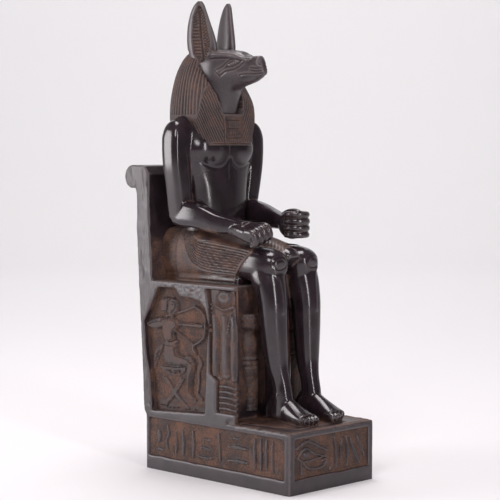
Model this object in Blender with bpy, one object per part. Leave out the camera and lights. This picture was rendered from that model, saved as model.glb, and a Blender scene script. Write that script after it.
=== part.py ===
"""Seated jackal-headed figure on a throne and plinth, carved as one block of dark stone.

The figure faces -Y and its right side is at -X. Sizes are in millimetres and the mesh is
scaled to metres at the end. Points of the figure are written for a figure 288.7 tall whose
soles are 41.3 above the underside; drawn() places them for the sizes below.
"""
import math

import bmesh
import bpy
import numpy as np
from mathutils import Matrix, Vector

METRES_PER_MM = 0.001

# Driving sizes
FIGURE_HEIGHT = 288.7
PLINTH_WIDTH = 84.0
PLINTH_DEPTH = 141.0
PLINTH_HEIGHT = 41.3
THRONE_BACK_LEAN = 9.5
BACKREST_THICKNESS = 13.0
BACKREST_ABOVE_SEAT = 81.0
ROLL_RADIUS = 8.3
NICHE_DEPTH = 5.0
PANEL_DEPTH = 1.6
PANEL_RIM_SIDE = 5.2
PANEL_RIM_TOP = 4.6
PANEL_RIM_BOTTOM = 8.8
STROKE_HEIGHT = 1.3

# The figure as it was drawn
DRAWN_HEIGHT = 288.7
DRAWN_SOLE = 41.3
DRAWN_PLINTH_BACK = 70.5
DRAWN_SEAT = 134.4
DRAWN_THRONE_FRONT = -19.0

# Carving on the figure
WIG_STRIPES = 84
STRIPE_DEPTH = 0.45
LAPPET_STRIPE = 2.5
PLEAT_PITCH = 2.5
PLEAT_DEPTH = 0.6
KILT_PROUD = 0.8
EAR_TURN = 11.0
EAR_RIM = 2.2
EAR_HOLLOW = 2.4

# Mesh detail
VOXEL = 0.8
TARGET_TRIANGLES = 9600
RING_SIDES = 20
RING_STEPS = 4
SMOOTH_ROUNDS = 5
BURIED = 4.0

# Heights on the drawn figure that bound its carving
EAR_HOLLOW_FROM, EAR_HOLLOW_TO = 286, 326
WIG_HEM, WIG_CROWN = 246.5, 294
LAPPET_HEM, LAPPET_TOP = 232, 259
KILT_TOP = 176
ROLL_UNDERSIDE = 217

FIGURE_SCALE = FIGURE_HEIGHT / DRAWN_HEIGHT
PLINTH_BACK = PLINTH_DEPTH / 2
SEAT_HEIGHT = PLINTH_HEIGHT + (DRAWN_SEAT - DRAWN_SOLE) * FIGURE_SCALE
NODE_NAME = "anubis_statue"


def drawn(x, y, z):
    """A drawn point of the figure, at this statue's size and place."""
    return Vector((
        x * FIGURE_SCALE,
        (y - DRAWN_PLINTH_BACK) * FIGURE_SCALE + PLINTH_BACK,
        (z - DRAWN_SOLE) * FIGURE_SCALE + PLINTH_HEIGHT,
    ))


THRONE_FRONT = drawn(0, DRAWN_THRONE_FRONT, 0).y


def through(rows, steps):
    """Rows of numbers made denser by a Catmull-Rom curve."""
    rows = np.array(rows, float)
    padded = np.vstack([2 * rows[0] - rows[1], rows, 2 * rows[-1] - rows[-2]])
    dense = []
    for i in range(len(rows) - 1):
        a, b, c, d = padded[i:i + 4]
        for t in np.arange(steps) / steps:
            bend = (2 * a - 5 * b + 4 * c - d) * t + (3 * b - a - 3 * c + d) * t * t
            dense.append(b + 0.5 * t * (c - a + bend))
    dense.append(rows[-1])
    return np.array(dense)


def add_ring(bm, centre, along, sizes, cap):
    """One closed ring across the direction given, with its own half sizes to the side, below and above."""
    half_side, half_low, half_high, squareness = sizes
    side = Vector((1, 0, 0)) - along * along.x
    side = side.normalized() if side.length > 0.05 else Vector((0, 1, 0))
    up = along.cross(side).normalized()
    made = bmesh.ops.create_circle(bm, cap_ends=cap, radius=1, segments=RING_SIDES)
    for vert in made["verts"]:
        across, over = vert.co.x, vert.co.y
        across = math.copysign(abs(across) ** squareness, across)
        over = math.copysign(abs(over) ** squareness, over)
        reach = half_high if over > 0 else half_low
        vert.co = centre + side * across * half_side + up * over * reach
    return made["verts"]


def ring_edges(verts):
    inside = set(verts)
    return list({e for v in verts for e in v.link_edges if e.other_vert(v) in inside})


def add_limb(bm, stations, squareness=1.0, steps=RING_STEPS):
    """A closed solid through stations of x, y, z, half side, half low and half high."""
    rows = through([list(drawn(*row[:3])) + [size * FIGURE_SCALE for size in row[3:]] for row in stations], steps)
    rows[:, 3:] = np.maximum(rows[:, 3:], 0.25)
    points = [Vector(row[:3]) for row in rows]
    rings = []
    for i, row in enumerate(rows):
        along = (points[min(i + 1, len(rows) - 1)] - points[max(i - 1, 0)]).normalized()
        rings.append(add_ring(bm, points[i], along, (*row[3:6], squareness), i in (0, len(rows) - 1)))
    for first, second in zip(rings, rings[1:]):
        bmesh.ops.bridge_loops(bm, edges=ring_edges(first) + ring_edges(second))


def add_ball(bm, centre, radii, turn_x=0.0, turn_z=0.0):
    """An ellipsoid at a drawn point."""
    scaled = [r * FIGURE_SCALE for r in radii]
    turn = Matrix.Rotation(math.radians(turn_z), 4, "Z") @ Matrix.Rotation(math.radians(turn_x), 4, "X")
    matrix = Matrix.Translation(drawn(*centre)) @ turn @ Matrix.Diagonal((*scaled, 1))
    bmesh.ops.create_uvsphere(bm, u_segments=20, v_segments=12, radius=1, matrix=matrix)


def add_box(bm, low, high):
    """A box between two corners."""
    low, high = Vector(low), Vector(high)
    matrix = Matrix.Translation((low + high) / 2) @ Matrix.Diagonal((*(high - low), 1))
    bmesh.ops.create_cube(bm, size=1, matrix=matrix)


def add_prism(bm, outline, x_from, x_to):
    """A prism along X over an outline of (y, z) points."""
    face = bm.faces.new([bm.verts.new((x_from, y, z)) for y, z in outline])
    made = bmesh.ops.extrude_face_region(bm, geom=[face])
    moved = [item for item in made["geom"] if isinstance(item, bmesh.types.BMVert)]
    bmesh.ops.translate(bm, verts=moved, vec=(x_to - x_from, 0, 0))


def arc(centre, radius, start, end, steps=8):
    """Points of an arc, its angles in degrees."""
    angles = [math.radians(start + (end - start) * i / steps) for i in range(steps + 1)]
    return [(centre[0] + radius * math.cos(a), centre[1] + radius * math.sin(a)) for a in angles]


def throne_outline():
    """The block seen from the side: plinth, seat, leaning backrest and its roll."""
    top = SEAT_HEIGHT + BACKREST_ABOVE_SEAT
    roll_y = PLINTH_BACK + THRONE_BACK_LEAN + 4.2
    roll_z = top - ROLL_RADIUS
    rest_front_top = PLINTH_BACK + THRONE_BACK_LEAN - BACKREST_THICKNESS
    rest_front_low = rest_front_top - 2.5
    outline = [(PLINTH_BACK, 0), (-PLINTH_BACK, 0), (-PLINTH_BACK, PLINTH_HEIGHT)]
    outline += [(THRONE_FRONT, PLINTH_HEIGHT), (THRONE_FRONT, SEAT_HEIGHT), (rest_front_low, SEAT_HEIGHT)]
    outline += [(rest_front_top, top - 6), (rest_front_top + 4.5, top)]
    outline += arc((roll_y, roll_z), ROLL_RADIUS, 90, -90)
    outline += [(PLINTH_BACK + THRONE_BACK_LEAN + 1.5, roll_z - ROLL_RADIUS)]
    outline += [(PLINTH_BACK + THRONE_BACK_LEAN, roll_z - ROLL_RADIUS - 4)]
    outline += [(PLINTH_BACK + THRONE_BACK_LEAN * 0.62, SEAT_HEIGHT * 0.8)]
    return outline


def niche_outline():
    """The rounded niche in the throne's side, following the back's lean and the leg in front."""
    top = SEAT_HEIGHT - 4
    floor = PLINTH_HEIGHT + 0.8
    back = PLINTH_BACK - 5.5
    front = drawn(0, 8.5, 0).y
    height = top - floor
    return [
        (front, floor), (back, floor), (back + 1.5, floor + 0.26 * height),
        (back + 4, floor + 0.55 * height), (back + 7, floor + 0.72 * height),
        (back + 2, floor + 0.9 * height), (back - 7, floor + height),
        (front + 30, floor + 0.96 * height), (front + 11, floor + 0.9 * height),
        (front + 1, floor + 0.8 * height), (front - 2, floor + 0.62 * height),
    ]


def cut_with(block, cutters):
    """Boolean the cutters out of the block and give the mesh that results."""
    cutter_mesh = bpy.data.meshes.new("cutters")
    cutters.to_mesh(cutter_mesh)
    cutter = bpy.data.objects.new("cutters", cutter_mesh)
    bpy.context.scene.collection.objects.link(cutter)
    difference = block.modifiers.new("cuts", "BOOLEAN")
    difference.operation = "DIFFERENCE"
    difference.object = cutter
    mesh = evaluated_mesh(block)
    bpy.data.objects.remove(cutter)
    return mesh


def evaluated_mesh(thing):
    return bpy.data.meshes.new_from_object(thing.evaluated_get(bpy.context.evaluated_depsgraph_get()))


def object_of(bm, name):
    bmesh.ops.recalc_face_normals(bm, faces=bm.faces)
    mesh = bpy.data.meshes.new(name)
    bm.to_mesh(mesh)
    bm.free()
    thing = bpy.data.objects.new(name, mesh)
    bpy.context.scene.collection.objects.link(thing)
    return thing


def throne_mesh():
    """Plinth and throne with their sunk panels and niches; it runs on below the underside."""
    body = bmesh.new()
    add_prism(body, throne_outline(), -PLINTH_WIDTH / 2, PLINTH_WIDTH / 2)
    for vert in body.verts:
        if vert.co.z == 0:
            vert.co.z = -BURIED
    block = object_of(body, "throne")
    cutters = bmesh.new()
    half = PLINTH_WIDTH / 2
    panel_low, panel_high = PANEL_RIM_BOTTOM, PLINTH_HEIGHT - PANEL_RIM_TOP
    for hand in (-1, 1):
        add_prism(cutters, niche_outline(), hand * (half - NICHE_DEPTH), hand * (half + BURIED))
        faces = sorted((hand * (half - PANEL_DEPTH), hand * (half + BURIED)))
        add_box(cutters, (faces[0], -PLINTH_BACK + PANEL_RIM_SIDE, panel_low),
                (faces[1], PLINTH_BACK - PANEL_RIM_SIDE + 2, panel_high))
        leg = sorted((hand * (half - 3.5), hand * (half + BURIED)))
        add_box(cutters, (leg[0], THRONE_FRONT - BURIED, PLINTH_HEIGHT + 1),
                (leg[1], drawn(0, 2.5, 0).y, SEAT_HEIGHT - 2.2))
    add_box(cutters, (-half + PANEL_RIM_SIDE, -PLINTH_BACK - BURIED, panel_low),
            (half - PANEL_RIM_SIDE, -PLINTH_BACK + PANEL_DEPTH, panel_high))
    bmesh.ops.recalc_face_normals(cutters, faces=cutters.faces)
    mesh = cut_with(block, cutters)
    bpy.data.objects.remove(block)
    return mesh


def add_head(bm):
    """Skull, muzzle, brows and neck."""
    add_limb(bm, [
        (0, 52, 282, 15, 15, 13), (0, 36, 281, 15.2, 14, 14.6), (0, 27, 281, 13.6, 12.6, 13.6),
        (0, 20, 281, 11.6, 11.4, 12), (0, 14, 281, 9.6, 10.6, 10.2), (0, 8, 281.3, 8.2, 9.6, 8.9),
        (0, 2, 281.8, 7.2, 8.6, 8.2), (0, -3.2, 282.3, 6.2, 6.8, 7.7), (0, -4.8, 282.6, 4.8, 4.8, 5.8),
    ], squareness=0.8)
    add_limb(bm, [
        (0, 40, 240, 13, 17, 14), (0, 40, 252, 11, 16, 14), (0, 40, 262, 11.5, 16, 14),
        (0, 38, 270, 13.5, 17, 14), (0, 36, 278, 13.5, 16, 14),
    ])
    for hand in (-1, 1):
        add_limb(bm, [(hand * 9.5, 34, 292.4, 2.4, 1.4, 1.8), (hand * 9.6, 22, 291.6, 2.4, 1.3, 1.6),
                      (hand * 8, 12, 291.2, 2, 1.2, 1.2), (hand * 4.6, 7.4, 289.8, 1.4, 1, 0.8)])


EAR_STATIONS = [
    (281, 41.5, 3.4, 3.5), (285.5, 42.3, 4.4, 7.8), (291, 42, 4.2, 11.4), (298, 42.6, 3.9, 12.6),
    (306, 43.8, 3.6, 11.6), (314, 44.9, 3.2, 9.4), (321, 45, 2.7, 6.8), (326.5, 44.5, 2.1, 4.1),
    (330, 44, 1.0, 1.2),
]
EAR_X = 14.4
EAR_Y = 43.0


def add_ears(bm):
    """Tall leaf-shaped ears standing over the sides of the head, turned a little to the front."""
    for hand in (-1, 1):
        ear = bmesh.new()
        add_limb(ear, [(hand * EAR_X, y, z, thick, wide, wide) for z, y, thick, wide in EAR_STATIONS])
        turn = Matrix.Rotation(math.radians(-hand * EAR_TURN), 3, "Z")
        bmesh.ops.rotate(ear, verts=ear.verts, cent=drawn(hand * EAR_X, EAR_Y, 0), matrix=turn)
        take_in(bm, ear)


def take_in(bm, made):
    """Add one bmesh's faces to another and free it."""
    mesh = bpy.data.meshes.new("shell")
    made.to_mesh(mesh)
    made.free()
    bm.from_mesh(mesh)
    bpy.data.meshes.remove(mesh)


WIG_STATIONS = [
    (0, 50, 243, 28.5, 18, 23), (0, 50, 250, 28.6, 19, 23.6), (0, 50, 258, 28, 20, 23.6),
    (0, 49.4, 268, 26.6, 18, 23), (0, 48.4, 278, 24.2, 13, 21.8), (0, 47.6, 286, 21, 9, 19.8),
    (0, 46, 291.5, 16.4, 8, 16.4), (0, 44, 295.4, 10, 8, 11.4), (0, 43, 297, 4, 4, 5),
]
LAPPET_STATIONS = [
    (16.5, 37, 266, 6, 4, 7), (17, 32.4, 257, 7.4, 4.2, 7), (16.8, 28.6, 248, 8.2, 4, 7),
    (15.6, 25.4, 238, 6.6, 3.6, 7), (14.6, 23.4, 229.2, 5.4, 3.4, 7),
]


def add_wig(bm):
    """The striped wig: a deep hull behind the ears, two lappets and the panel between them."""
    add_limb(bm, WIG_STATIONS)
    for hand in (-1, 1):
        add_limb(bm, [(hand * row[0], *row[1:]) for row in LAPPET_STATIONS], squareness=0.8)
    add_limb(bm, [
        (0, 28.4, 251, 10.4, 2.6, 9), (0, 25.2, 240, 10.4, 2.6, 9), (0, 22.6, 230, 10.4, 2.6, 9),
    ], squareness=0.6)
    add_limb(bm, [(0, 23.4, 231, 18.6, 4.8, 9), (0, 23, 228.4, 18.6, 4.8, 9)], squareness=0.75)


def add_torso(bm):
    """Slim waist, broad shoulders and two flat breast muscles."""
    add_limb(bm, [
        (0, 42, 133, 27, 20, 24), (0, 42, 150, 27.5, 21, 24), (0, 42, 165, 25.5, 19, 23),
        (0, 41.5, 178, 22.6, 17.4, 21), (0, 41.2, 192, 23, 17.6, 20), (0, 41, 202, 24, 17.2, 19.5),
        (0, 40.6, 213, 27, 18, 19), (0, 41, 224, 31, 19.4, 19), (0, 42.6, 234, 33.5, 18, 18),
        (0, 44.5, 242, 31, 14, 15), (0, 45.5, 247.5, 20, 11, 12),
    ], squareness=0.92)
    for hand in (-1, 1):
        add_limb(bm, [
            (hand * 3, 31, 222, 9.4, 7, 7), (hand * 12, 30.6, 223, 10.6, 8, 8), (hand * 21, 33.6, 226, 10, 8, 8),
            (hand * 29, 39.6, 231, 8, 8.6, 8.6), (hand * 34, 43, 234, 7, 8, 8),
        ])
        add_limb(bm, [(hand * 18, 44, 240, 8, 9, 6), (hand * 36, 44, 235, 9, 9, 8.4)])
    add_limb(bm, [(0, 60, 134, 20, 6, 10), (0, 60, 190, 18, 6, 8), (0, 62, 210, 17, 6, 7)], squareness=0.6)
    seat = drawn(0, 0, DRAWN_SEAT + 4.6)
    add_box(bm, (-drawn(28, 0, 0).x, drawn(0, -8, 0).y, SEAT_HEIGHT - BURIED), (drawn(28, 0, 0).x, drawn(0, 66, 0).y, seat.z))


def add_arm(bm, hand, wrist, fist):
    """Shoulder to wrist, with the elbow bent square."""
    add_ball(bm, (hand * 36, 44, 233.5), (9.8, 10, 11))
    add_limb(bm, [
        (hand * 35.6, 44, 240, 7, 7.5, 7.5), (hand * 36.2, 43.8, 230, 9, 9.2, 9.2),
        (hand * 36, 43.7, 217, 8.8, 8.8, 8.8), (hand * 34.2, 43.6, 205, 8.2, 8.4, 8.4),
        (hand * 32.4, 44, 194, 7.9, 8.4, 8.4), (hand * 31.2, 44.6, 184, 7.8, 8.6, 8.4),
        (hand * 30.8, 45, 178, 6.6, 7, 6.6),
    ])
    add_limb(bm, [
        (hand * 31, 48, 180.6, 6.8, 7.6, 7), (hand * 31, 39, 180.6, 7.8, 9, 9.4),
        (hand * 30, 26, 179.4, 7.4, 8.2, 9), (hand * 27.6, 12, wrist[2] + 1.6, 6.4, 6.6, 7),
        (*wrist, 5.6, 5.2, 5.6), (*fist, 5.8, 5.4, 5.4),
    ])


def add_flat_fist(bm):
    """The right hand, closed palm down on the thigh: a back of the hand and four curled fingers."""
    add_ball(bm, (-23.5, -13, 171.5), (8.4, 11, 6))
    for i in range(4):
        x = -16.6 - 4.0 * i
        front = -31.5 + 1.6 * i
        add_limb(bm, [
            (x, front + 13, 173.4, 2.1, 2.6, 2.8), (x, front + 5, 173.8, 2.2, 2.6, 2.8),
            (x, front + 1.2, 170.6, 2.2, 2.6, 2.8), (x, front + 1.4, 165.6, 2.1, 2.4, 2.6),
            (x, front + 5, 162.8, 1.9, 2, 2),
        ])


def add_upright_fist(bm):
    """The left hand, closed upright with the thumb over the top."""
    add_ball(bm, (21, -14, 173.5), (7, 9.5, 9.5))
    for i in range(4):
        z = 180 - 4.5 * i
        add_limb(bm, [
            (26.4, -13, z, 2.2, 2.2, 2.2), (25.6, -22.5, z, 2.4, 2.3, 2.3), (20.6, -28.6, z, 2.6, 2.4, 2.4),
            (15.6, -24.5, z, 2.2, 2.2, 2.2), (14.8, -19, z, 2, 2, 2),
        ])
    add_limb(bm, [(22, -10, 182.4, 2.8, 2.4, 2.2), (20, -18, 184.2, 2.9, 2.4, 2.2), (18.6, -25.5, 183.6, 2.7, 2.2, 2)])


def add_legs(bm):
    """Thighs along the seat, shins and feet side by side."""
    for hand in (-1, 1):
        add_limb(bm, [
            (hand * 15.5, 62, 150, 12.5, 16, 17), (hand * 15.6, 44, 150, 14.8, 17, 18.4),
            (hand * 15.4, 24, 150, 14.6, 17, 16.8), (hand * 15.2, 6, 149.4, 14.2, 15, 14),
            (hand * 15, -10, 148, 13.2, 13.4, 11.4), (hand * 15, -22, 146.6, 12.2, 12.6, 10),
            (hand * 15, -31, 145.4, 10.6, 11, 9), (hand * 15, -36.4, 144.6, 7, 7, 6),
        ], squareness=0.9)
        add_limb(bm, [
            (hand * 15, -23, 150, 9, 7, 8), (hand * 14.6, -25.6, 141, 10.8, 10.4, 11),
            (hand * 14.2, -27.4, 132, 10.4, 10.8, 11), (hand * 14, -29.2, 120, 9, 10.2, 11),
            (hand * 13.8, -30.6, 108, 8, 9.4, 9.8), (hand * 13.6, -32.2, 92, 6.7, 7.6, 7.4),
            (hand * 13.5, -34.4, 78, 5.8, 6.2, 6), (hand * 13.5, -35.4, 66, 5.6, 6.4, 6.6),
            (hand * 13.5, -35, 54, 6, 7.4, 7.4), (hand * 13.5, -34.6, 43, 6.2, 7.6, 7.8),
        ])
        add_ball(bm, (hand * 15.6, -34.6, 149), (6.2, 3.6, 6.4))
        add_limb(bm, [
            (hand * 13.5, -28, 49, 5, 9, 4), (hand * 13.5, -38, 51, 6.4, 11, 10), (hand * 13.4, -47, 50, 7, 10, 7.6),
            (hand * 13.4, -56, 48.6, 7.9, 8, 5), (hand * 13.4, -63, 47.6, 8, 7, 3.4), (hand * 13.4, -66, 46.8, 7, 6, 2.6),
        ], squareness=0.8)
        for toe, (x, front) in enumerate([(7.4, -68.6), (11, -68.8), (14.2, -68), (17.2, -66.6), (19.8, -64.6)]):
            size = 2.3 if toe == 0 else 1.7
            add_limb(bm, [
                (hand * x, front + 9, 47.6, size, 3.4, 3), (hand * x, front + 4, 46.4, size, 3.4, 3.2),
                (hand * x, front + 0.6, 45.6, size * 0.8, 2.6, 2.2),
            ])


def add_apron(bm):
    """The kilt's tab, which lies between the thighs down to the knees."""
    add_limb(bm, [(0, 34, 158, 12, 12, 8.6), (0, 8, 155, 9.6, 10, 6.4), (0, -14, 152.4, 8, 9, 5), (0, -31, 149, 6, 8, 4.4)],
             squareness=0.7)


def add_ground(bm):
    """Stone left standing behind and under the legs."""
    add_limb(bm, [(0, -22, 40, 9, 5, 8), (0, -22, 90, 8, 5, 8), (0, -22, 140, 9, 6, 8)], squareness=0.6)
    add_limb(bm, [(0, -20, 41, 32, 3, 3.4), (0, -40, 41, 27, 3, 3.2), (0, -64, 41, 23, 3, 1.6)], squareness=0.7)


def add_lion_leg(bm, hand):
    """The throne's front corner: a lion's leg with a roundel above and ridged paw below."""
    x = hand * (PLINTH_WIDTH / 2 / FIGURE_SCALE - 3)
    for y in (-15, -9.5, -4):
        add_limb(bm, [
            (x, y, 131, 3, 2.8, 2.8), (x, y, 118, 2.8, 2.6, 2.6), (x, y + 0.8, 95, 2.4, 2.4, 2.4),
            (x, y + 1.6, 80, 2.5, 2.2, 2.2), (x, y, 70, 2.8, 2.8, 2.8),
        ])
    add_ball(bm, (x, -7, 125.5), (3.6, 5.6, 5.6))
    for i in range(5):
        z = 48 + 5.2 * i
        add_limb(bm, [(x, -3, z, 3, 2.5, 2.5), (x, -12, z, 3.2, 2.7, 2.7), (x, -20, z, 2.8, 2.5, 2.5)], squareness=0.8)


def add_pillar_relief(bm, hand):
    """A low ringed pillar carved on the throne's front beside each leg."""
    add_limb(bm, [
        (hand * 26, -19, 52, 4.4, 1.6, 2), (hand * 26, -19, 66, 4, 1.6, 2), (hand * 26, -19, 78, 5.6, 2.4, 2),
        (hand * 26, -19, 90, 5.8, 2.6, 2), (hand * 26, -19, 100, 4.2, 1.8, 2), (hand * 26, -19, 114, 5.6, 1.8, 2),
    ])
    for z in (56, 62, 68, 74):
        add_limb(bm, [(hand * 26, -19, z - 1, 5.4, 2.4, 2), (hand * 26, -19, z + 1, 5.4, 2.4, 2)])


def add_relief_limb(bm, hand, points, half_widths, proud):
    """A raised stroke on the niche's ground through drawn (y, z) points."""
    if not isinstance(half_widths, list):
        half_widths = [half_widths] * len(points)
    ground = hand * (PLINTH_WIDTH / 2 - NICHE_DEPTH)
    flat = bmesh.new()
    add_limb(flat, [(0, y, z, w, w, w) for (y, z), w in zip(points, half_widths)], steps=2)
    for vert in flat.verts:
        vert.co.x = ground + vert.co.x * proud / (max(half_widths) * FIGURE_SCALE)
    take_in(bm, flat)


def add_archer(bm, hand):
    """A seated archer, drawing a bow towards the front."""
    def limb(points, width, proud):
        add_relief_limb(bm, hand, points, width, proud)

    limb([(47.5, 88), (47, 92), (47, 100)], [7.5, 7, 6.5], 2.6)
    limb([(46.8, 101), (47, 107), (45.6, 112)], [6.5, 7.5, 5], 2.6)
    limb([(42, 116), (41.5, 119.5)], [4, 3.8], 2.8)
    limb([(49.5, 110), (50, 116), (46, 122.5), (40, 124)], [3.6, 4.4, 4.4, 2.4], 3)
    limb([(50, 109), (60, 106), (67.5, 103)], [3.2, 2.6, 2.2], 2.8)
    limb([(67, 103), (60, 106.5), (54, 107.5)], [2.2, 2, 1.9], 3.2)
    limb([(44, 110), (30, 107.5), (11, 105.5)], [3.2, 2.3, 1.8], 2.4)
    limb([(20, 118.6), (12, 114), (8, 107.5), (8.4, 99), (13, 93.5), (20.4, 91)], 1.1, 1.8)
    limb([(20, 118.6), (54, 106.6), (20.4, 91)], 0.7, 1.4)
    limb([(50, 82), (38, 81), (25, 80)], [6.5, 6.2, 4.8], 2.8)
    limb([(25, 80), (25.6, 68), (25.7, 58), (20, 54.5)], [4.4, 3.4, 2.4, 2], 2.4)
    limb([(22, 82), (17, 78), (18.4, 62), (13, 55)], [4, 3.4, 2.4, 2], 1.8)
    limb([(53, 74), (30, 74)], 1.6, 1.8)
    limb([(49.4, 72), (31, 50)], 1.5, 1.8)
    limb([(34, 72), (48, 50)], 1.5, 1.6)
    limb([(56, 87), (61.5, 69)], [3, 2.2], 1.6)
    limb([(62, 47.5), (10, 47.5)], 1.8, 1.4)


def add_stroke(bm, face, points, half_width):
    """A raised stroke on a plinth panel; face is -1 or 1 for the sides and 0 for the front."""
    made = bmesh.new()
    add_limb(made, [(0, y, z, half_width, half_width, half_width) for y, z in points], steps=2)
    ground = PLINTH_WIDTH / 2 - PANEL_DEPTH
    for vert in made.verts:
        proud = vert.co.x / half_width * STROKE_HEIGHT
        if face == 0:
            along = vert.co.y - PLINTH_BACK + DRAWN_PLINTH_BACK
            vert.co.x, vert.co.y = along, -PLINTH_BACK + PANEL_DEPTH - proud
        else:
            vert.co.x = face * (ground + proud)
    take_in(bm, made)


def add_side_strokes(bm, face):
    """Rows of shallow marks that fill the side panel; they spell nothing."""
    for y in (-37.4, -43.1, -48.4, -53.9):
        add_stroke(bm, face, [(y, 34), (y, 27), (y, 18), (y, 13.4)], 1.5)
    for z in (26, 17):
        add_stroke(bm, face, [(-12, z), (-21, z - 1.4), (-31, z)], 1.1)
    add_stroke(bm, face, [(-33.4, 29), (-33.2, 14)], 0.7)
    add_stroke(bm, face, [(57.5, 26), (56.5, 24.2)], 3)
    add_stroke(bm, face, [(48.5, 34), (50.5, 27), (47.5, 22), (49.5, 15)], 1.3)
    add_stroke(bm, face, [(33, 32), (32.6, 22), (33, 14.6)], 2.2)
    add_stroke(bm, face, [(24, 14), (24.6, 26), (21, 33), (16.5, 31)], 1.4)
    for z in (26.4, 20.4, 14.4):
        add_stroke(bm, face, [(18, z), (10, z + 0.8), (2.4, z)], 1.1)
    add_stroke(bm, face, [(-3.6, 34), (-4, 14)], 1.3)
    add_stroke(bm, face, [(-8.6, 29), (-8.8, 17)], 0.9)


def add_front_marks(bm):
    """An eye with its brow and curl, and tall strokes beside it; drawn as (x, z)."""
    add_stroke(bm, 0, [(-34, 29), (-22, 33.4), (-11.8, 29), (-4.2, 25.8)], 1.0)
    add_stroke(bm, 0, [(-33, 24.2), (-24.3, 29), (-16.8, 25.2), (-5.5, 22.2)], 0.9)
    add_stroke(bm, 0, [(-33, 24.2), (-28.6, 21.4), (-16.8, 21.4), (-5.5, 22.2)], 0.9)
    add_stroke(bm, 0, [(-24.4, 26.2), (-24.2, 24.4)], 2.6)
    add_stroke(bm, 0, [(-28.6, 21), (-23.6, 16.6), (-16.8, 15), (-9.3, 15.4), (-6.2, 18.8)], 0.9)
    add_stroke(bm, 0, [(-29.8, 21), (-29.2, 12.6)], 0.9)
    add_stroke(bm, 0, [(3.4, 34), (3.6, 25), (4.7, 13.6)], 1.2)
    add_stroke(bm, 0, [(9, 33), (9, 14)], 1.0)
    add_stroke(bm, 0, [(15.5, 33.6), (17, 22), (15.2, 13)], 1.5)
    add_stroke(bm, 0, [(18, 30), (23, 21.4), (28.4, 13.2)], 1.5)
    add_stroke(bm, 0, [(25, 33), (31, 24)], 1.1)


def figure_parts():
    """Every rounded piece of the carving in one mesh of overlapping closed shells."""
    bm = bmesh.new()
    add_head(bm)
    add_ears(bm)
    add_wig(bm)
    add_torso(bm)
    add_arm(bm, -1, (-25, -3, 173.6), (-24, -13, 172.4))
    add_arm(bm, 1, (23, -3, 175), (22, -12, 174))
    add_flat_fist(bm)
    add_upright_fist(bm)
    add_legs(bm)
    add_apron(bm)
    return bm


def setting_parts():
    """Carving that belongs to the throne and the plinth."""
    bm = bmesh.new()
    add_ground(bm)
    for hand in (-1, 1):
        add_lion_leg(bm, hand)
        add_pillar_relief(bm, hand)
        add_archer(bm, hand)
        add_side_strokes(bm, hand)
    add_front_marks(bm)
    return bm


def smoothed(points, edges, weights, rounds):
    """Points moved towards the mean of their neighbours, as far as their weights say."""
    ends = np.concatenate([edges, edges[:, ::-1]])
    count = np.bincount(ends[:, 0], minlength=len(points))[:, None]
    for _ in range(rounds):
        total = np.stack([np.bincount(ends[:, 0], points[ends[:, 1], k], len(points)) for k in range(3)], 1)
        points = points + weights[:, None] * (total / count - points)
    return points


def undrawn(points):
    """Points of this statue back in the drawn figure's frame."""
    shift = np.array(drawn(0, 0, 0))
    return (points - shift) / FIGURE_SCALE


def along_stations(z, rows, column):
    """A column of numbers read at each height, the rows listed with their height first."""
    rows = sorted(rows)
    return np.interp(z, [row[0] for row in rows], [row[column] for row in rows])


def step(value, low, high):
    """0 below low, 1 above high, smooth between."""
    t = np.clip((value - low) / (high - low), 0, 1)
    return t * t * (3 - 2 * t)


def line_distance(y, z, points):
    """Distance in the side view from each point to a line of (y, z) points."""
    nearest = np.full(len(y), 1e9)
    for (y0, z0), (y1, z1) in zip(points, points[1:]):
        length = (y1 - y0) ** 2 + (z1 - z0) ** 2
        t = np.clip(((y - y0) * (y1 - y0) + (z - z0) * (z1 - z0)) / length, 0, 1)
        nearest = np.minimum(nearest, np.hypot(y - y0 - t * (y1 - y0), z - z0 - t * (z1 - z0)))
    return nearest


def ear_field(x, y, z, normal_x):
    """How deep the ears' hollows go."""
    side = np.sign(x)
    turn = math.radians(-EAR_TURN)
    out = (np.abs(x) - EAR_X) * math.cos(turn) - (y - EAR_Y) * math.sin(turn)
    across = (y - EAR_Y) * math.cos(turn) + (np.abs(x) - EAR_X) * math.sin(turn) + EAR_Y
    middle = along_stations(z, EAR_STATIONS, 1)
    half = along_stations(z, EAR_STATIONS, 3) - EAR_RIM
    inside = 1 - step(np.abs(across - middle) / np.maximum(half, 0.2), 0.55, 1.05)
    return EAR_HOLLOW * inside * step(out, 0, 1) * step(normal_x * side, 0.1, 0.5) * (
        step(z, EAR_HOLLOW_FROM, EAR_HOLLOW_FROM + 4) * (z < EAR_HOLLOW_TO))


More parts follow.
